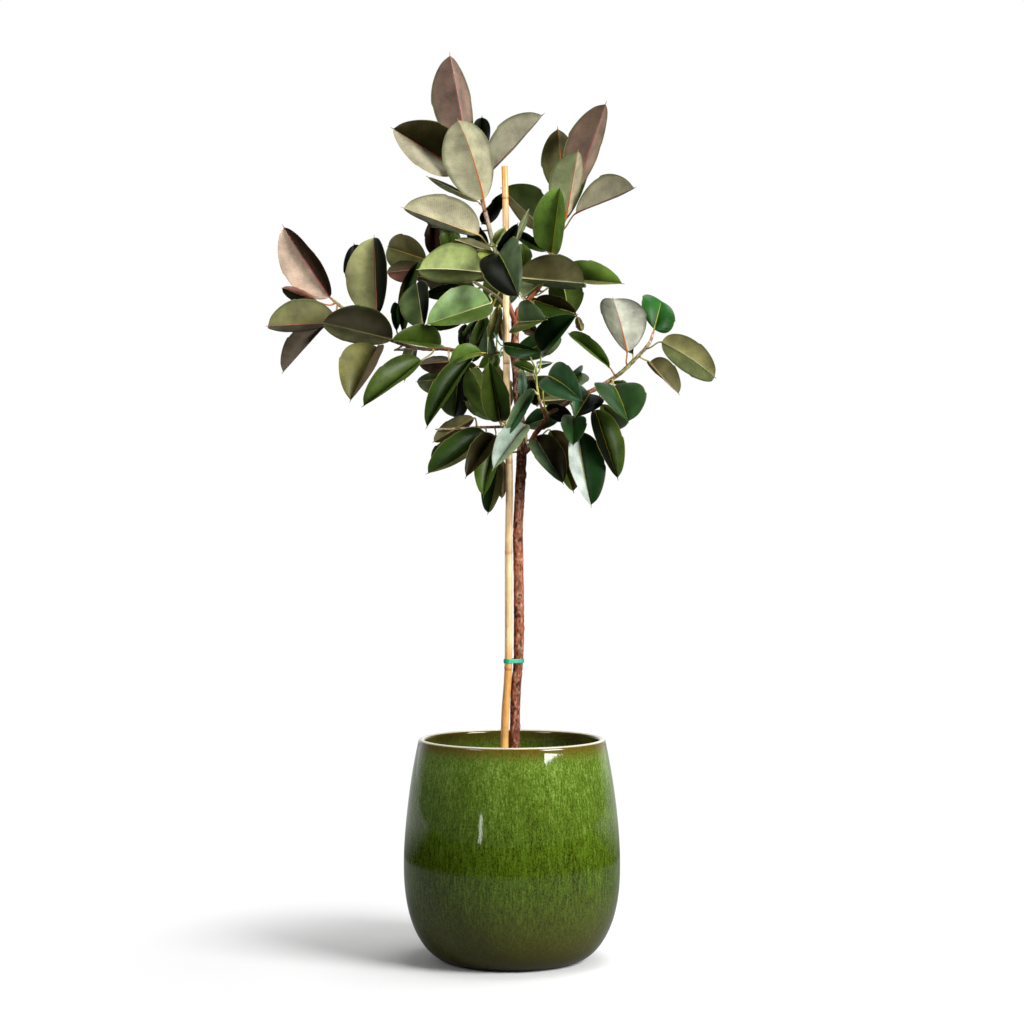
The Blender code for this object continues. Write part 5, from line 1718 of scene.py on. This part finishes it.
    def stalk(self, leaf: Leaf, parent: Route, first: Array) -> Array:
        """Rings of the stalk, from the bark to the blade's first ring.

        The centre line is a cubic Bezier curve that leaves the bark squarely and runs into the
        rib. Each ring is a circle, swollen at its foot, in the frame of the blade's left side,
        and the last ones ease into the blade's own ring.

        Args:
            leaf: The leaf.
            parent: Centre line of the stem that carries it.
            first: The blade's first ring.

        Returns:
            Rings shaped (stations, 2 * across - 2, 3), cm.
        """
        (base, middle, _), left, _ = self.axes(leaf)
        start, away = parent.seat(leaf.start, base)
        reach = float(np.linalg.norm(base - start))
        t = np.linspace(0.0, 1.0, self.stalk_stations + 1)
        into = unit(middle - base) * reach * 0.3
        centre = bezier([start, start + away * reach * 0.35, base - into, base], t)
        ahead = unit(np.gradient(centre, axis=0))
        side = square_to(np.broadcast_to(left, ahead.shape), ahead)
        up = np.cross(ahead, side) * leaf.side.value
        half = math.pi * np.arange(self.across) / (self.across - 1)
        angle = np.concatenate([half, FULL_TURN - half[-2:0:-1]])[None, :, None]
        radius = self.stalk_radius * (0.92 + 0.75 * np.exp(-t * reach / 0.35))[:, None, None]
        rings = centre[:, None] + radius * (side[:, None] * np.cos(angle) + up[:, None] * np.sin(angle))
        ease = np.clip((t - 0.7) / 0.3, 0.0, 1.0)[:, None, None] ** 2
        return (rings * (1 - ease) + (first + centre[:, None] - base) * ease)[:-1]

    def tones(self, leaf: Leaf, share: Array, side: Array, on_top: Array, number: int) -> Array:
        """Colour at each point of the blade.

        The face that shows has the leaf's tones, one for each half, with the light and shade on that half
        painted in. The far face is three parts deep green behind an upper face, or reed grey behind an under
        face. Clouds of a fifth of the blade's length lighten and darken both.

        Args:
            leaf: The leaf.
            share: Share of the length at each point.
            side: Place from the left margin (1) to the right (-1) at each point.
            on_top: Which ring points lie on the upper face.
            number: Seeds the tint and the clouds.

        Returns:
            Linear colours, three per point.
        """
        # each half's tone carries the painted light or shade of that half
        left, right = linear(leaf.left_tone_and_light.value), linear(leaf.right_tone_and_light.value)
        near = np.where(side[..., None] > 0, left, right)
        back = Tone.REED if leaf.side is Side.UPPER else Tone.BOTTLE
        far = 0.25 * near + 0.75 * linear(back.value)
        shows = on_top if leaf.side is Side.UPPER else ~on_top
        tint = np.random.default_rng(Seed.LEAF_TINTS + number).uniform(0.95, 1.05, 3)
        clouds = value_noise(share * 5 + 3.7 * number, side * 2 + 9, Seed.LEAF_CLOUDS)[..., None]
        return np.where(shows[None, :, None], near, far) * tint * (1.0 + 0.16 * clouds)

    def build_leaf(self, leaf: Leaf, parent: Route, number: int, name: str, slot: str,
                   *stands_for: str) -> None:
        """Make one leaf and dress it.

        Args:
            leaf: The leaf.
            parent: Centre line of the stem that carries it.
            number: Seeds its waves and tints.
            name: Name of its piece.
            slot: The record's material slot that it belongs to.
            stands_for: The solid that it is shown instead of, if it has one.
        """
        blade, u, s, distance = self.blade(leaf, number)
        stalk = self.stalk(leaf, parent, blade[0])
        rings = np.concatenate([stalk, blade])
        rows, columns = rings.shape[:2]
        flat = np.zeros((rows, columns))
        share = np.append(np.zeros(len(stalk)), u)[:, None] + flat
        side = s[None, :] + flat
        distance = np.vstack([np.repeat(distance[:1], len(stalk), axis=0), distance])
        run = travelled(rings.mean(axis=1))[:, None] + flat
        on_top = np.arange(columns) < self.across
        rib = linear(leaf.rib.value)
        values = {
            "tone": self.tones(leaf, share, side, on_top, number),
            "rib": np.broadcast_to(rib, rings.shape),
            "uv": np.stack([0.5 + distance / self.chart, run / self.chart, flat], axis=-1),
            "blade": np.stack([side, share, flat + leaf.marks], axis=-1),
        }
        values["tone"][:len(stalk)] = 0.7 * rib + 0.3 * linear(Tone.SPRING.value)
        top_quads = np.arange(columns) < self.across - 1
        if leaf.side is Side.UNDER:
            rings = rings[:, ::-1]
            values = {label: grid[:, ::-1] for label, grid in values.items()}
            top_quads = np.roll(top_quads[::-1], -1)
        patch = closed_tube(rings, values)
        quads = patch.faces[0].reshape(rows - 1, columns, 4)
        foot = len(stalk) - 1
        patch.faces = [quads[:foot].reshape(-1, 4), quads[foot:, top_quads].reshape(-1, 4),
                       quads[foot:, ~top_quads].reshape(-1, 4)] + patch.faces[1:]
        patch.slots = [0, 1, 2, 0, 1]
        add_piece(name, [patch], [STALK, CUTICLE, UNDERSIDE], slot, *stands_for)

    def build(self, routes: dict[str, Route]) -> None:
        """Make every leaf: those with solids are shown instead of them, the others are named by their number.

        Args:
            routes: Centre lines of the stems, by name.
        """
        slots = {part["node"]: part["material_slot"] for part in frame["record"]["subparts"]}
        counts: Counter[str] = Counter()
        for number, (spray, leaf) in enumerate((spray, leaf) for spray in SPRAYS for leaf in spray.leaves):
            counts[spray.place] += 1
            node = f"leaf_{spray.place}_{counts[spray.place]}"
            parent = routes[spray.shoot]
            if spray.place:
                self.build_leaf(leaf, parent, number, node + "_blade", slots[node], node)
            else:
                self.build_leaf(leaf, parent, number, f"leaf_small_{number:03d}", "leaf_dark_green")


@dataclass(frozen=True)
class Softbox:
    """A soft studio light: a lit rectangle that faces a point on the plant. In m and W."""

    name: str
    place: Place
    target: Place
    width: float
    height: float
    power: float
    grid: float = 180.0                 # angle that its honeycomb lets through, degrees

    def build(self) -> None:
        """Hang the light, unseen by the camera."""
        light = bpy.data.lights.new(self.name, "AREA")
        light.shape = "RECTANGLE"
        light.size, light.size_y = self.width, self.height
        light.energy = self.power
        light.spread = math.radians(self.grid)
        lamp = into_scene(self.name, light)
        lamp.location = self.place
        lamp.rotation_euler = (Vector(self.target) - Vector(self.place)).to_track_quat("-Z", "Y").to_euler()
        lamp.visible_camera = False


@dataclass
class Studio:
    """The pale floor, the white backdrop in a darker room, the softboxes and the camera. In m."""

    floor_radius: float = 14.0
    floor_rings: int = 24
    floor_sides: int = 96
    lens_mm: float = 82.7
    shift_up: float = -0.0186
    seen: float = 1.0                   # brightness of the room where the camera sees it
    dark_side: float = 0.12             # brightness of the room in front of the plant
    backdrop: float = 0.95              # brightness of the backdrop behind it
    softboxes: tuple[Softbox, ...] = (
        Softbox("key_right", (2.7, -2.1, 2.13), (0.0, 0.0, 0.8), 1.7, 1.73, 200.0),
        Softbox("fill_left", (-2.3, -2.1, 2.3), (0.0, 0.0, 1.4), 1.2, 1.0, 6.5, 50.0),
        Softbox("overhead", (0.6, 0.3, 3.6), (0.0, 0.0, 1.0), 2.2, 2.2, 70.0),
        Softbox("glint_left", (-1.75, -2.7, 0.4), (0.0, 0.0, 0.3), 0.2, 0.34, 1.6),
    )

    def build(self) -> None:
        """Set up everything around the plant."""
        self.build_floor()
        self.build_room()
        for softbox in self.softboxes:
            softbox.build()
        self.build_camera()

    def build_floor(self) -> None:
        """Lay a round floor whose rings widen with the square of their number."""
        reach = self.floor_radius * np.linspace(0.0, 1.0, self.floor_rings + 1)[1:] ** 2
        rings = turned(reach[:, None], 0.0, around(self.floor_sides))
        mesh = bpy.data.meshes.new("floor")
        quads = ring_quads(*rings.shape[:2])[:, ::-1]
        disc = list(range(self.floor_sides))
        mesh.from_pydata(rings.reshape(-1, 3).tolist(), [], quads.tolist() + [disc])
        mesh.flip_normals()
        mesh.shade_smooth()
        mesh.materials.append(SweepPaper().material())
        into_scene("floor", mesh)

    def build_room(self) -> None:
        """Make the room white where it is seen, with a lit backdrop behind the plant only."""
        world = bpy.data.worlds.new("studio_room")
        bpy.context.scene.world = world
        world.use_nodes = True
        graph = Graph(world.node_tree)
        behind = graph.split(graph.add("TexCoord", {}, "Generated"))[1]
        lit = graph.remap(behind, 0.5, 0.9, self.dark_side, self.backdrop)
        camera = graph.add("LightPath", {}, "Is Camera Ray")
        strength = graph.add("Mix", {0: camera, 2: lit, 3: self.seen})
        graph.plug(world.node_tree.nodes["Background"], {0: WHITE, 1: strength})

    def build_camera(self) -> None:
        """Stand the camera at eye height in front of the pot, level, and show colours as they are."""
        scene = bpy.context.scene
        view = bpy.data.cameras.new("camera")
        view.lens = self.lens_mm
        view.shift_y = self.shift_up
        camera = into_scene("camera", view)
        camera.location = (0.0, -EYE_DISTANCE * CM, EYE_HEIGHT * CM)
        camera.rotation_euler = (math.pi / 2, 0.0, 0.0)
        scene.camera = camera
        scene.view_settings.view_transform = "Standard"


@dataclass(frozen=True)
class SweepPaper(Finish):
    """Seamless white studio paper: matt round the pot, and lit to plain white further out."""

    name: str = "seamless_white_paper"
    paper: str = "#f8f8f8"
    matt_radius: float = 0.35           # the paper takes shadows up to here, m
    lit_radius: float = 0.85            # and is plain white from here on, m
    cloth_from: float = 1.3             # and throws nothing back from here on, m
    cloth_edge: float = 0.2             # width of the cloth's soft edge, m
    thrown_back: float = 0.26           # share of its light that the rest throws on the plant
    behind: float = 0.5                 # the same for the paper behind the pot

    def dress(self, graph: Graph) -> dict[str, Any]:
        """Go from matt white paper to a white glow with the distance from the pot.

        The camera sees the paper white all over. What it throws back on the plant is dimmer, and
        nothing far out in front, as if black cloth lay over it there.
        """
        place = graph.place()
        far = graph.distance(place)
        glow = graph.remap(far, self.matt_radius, self.lit_radius, interpolation_type="SMOOTHSTEP")
        thrown = graph.remap(far, self.cloth_from, self.cloth_from + self.cloth_edge, self.thrown_back, 0.0)
        back = graph.remap(graph.split(place)[1], 0.8, 2.4, 0.0, self.behind)
        camera = graph.add("LightPath", {}, "Is Camera Ray")
        share = graph.calc("MAXIMUM", camera, graph.calc("MAXIMUM", thrown, back))
        lit = graph.calc("MULTIPLY", glow, share)
        colour = graph.mix(graph.calc("SUBTRACT", share, lit), "#000000", self.paper)
        return {"Base Color": colour, "Roughness": 0.9, "Specular IOR Level": 0.1,
                "Emission Color": WHITE, "Emission Strength": lit}


def main() -> None:
    """Build the plant from the pot up, then the studio around it."""
    logging.basicConfig(level=logging.INFO, format="%(message)s")
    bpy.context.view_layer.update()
    pot, trunk, cane = Pot(), Trunk(), Cane()
    pot.build()
    Soil().build(pot)
    trunk_route, cane_route = trunk.route(), cane.route()
    trunk.build(trunk_route)
    cane.build(cane_route)
    Ties().build((trunk_route, cane_route))
    Foliage().build(Branches().build(trunk_route))
    Studio().build()


if __name__ == "__main__":
    main()
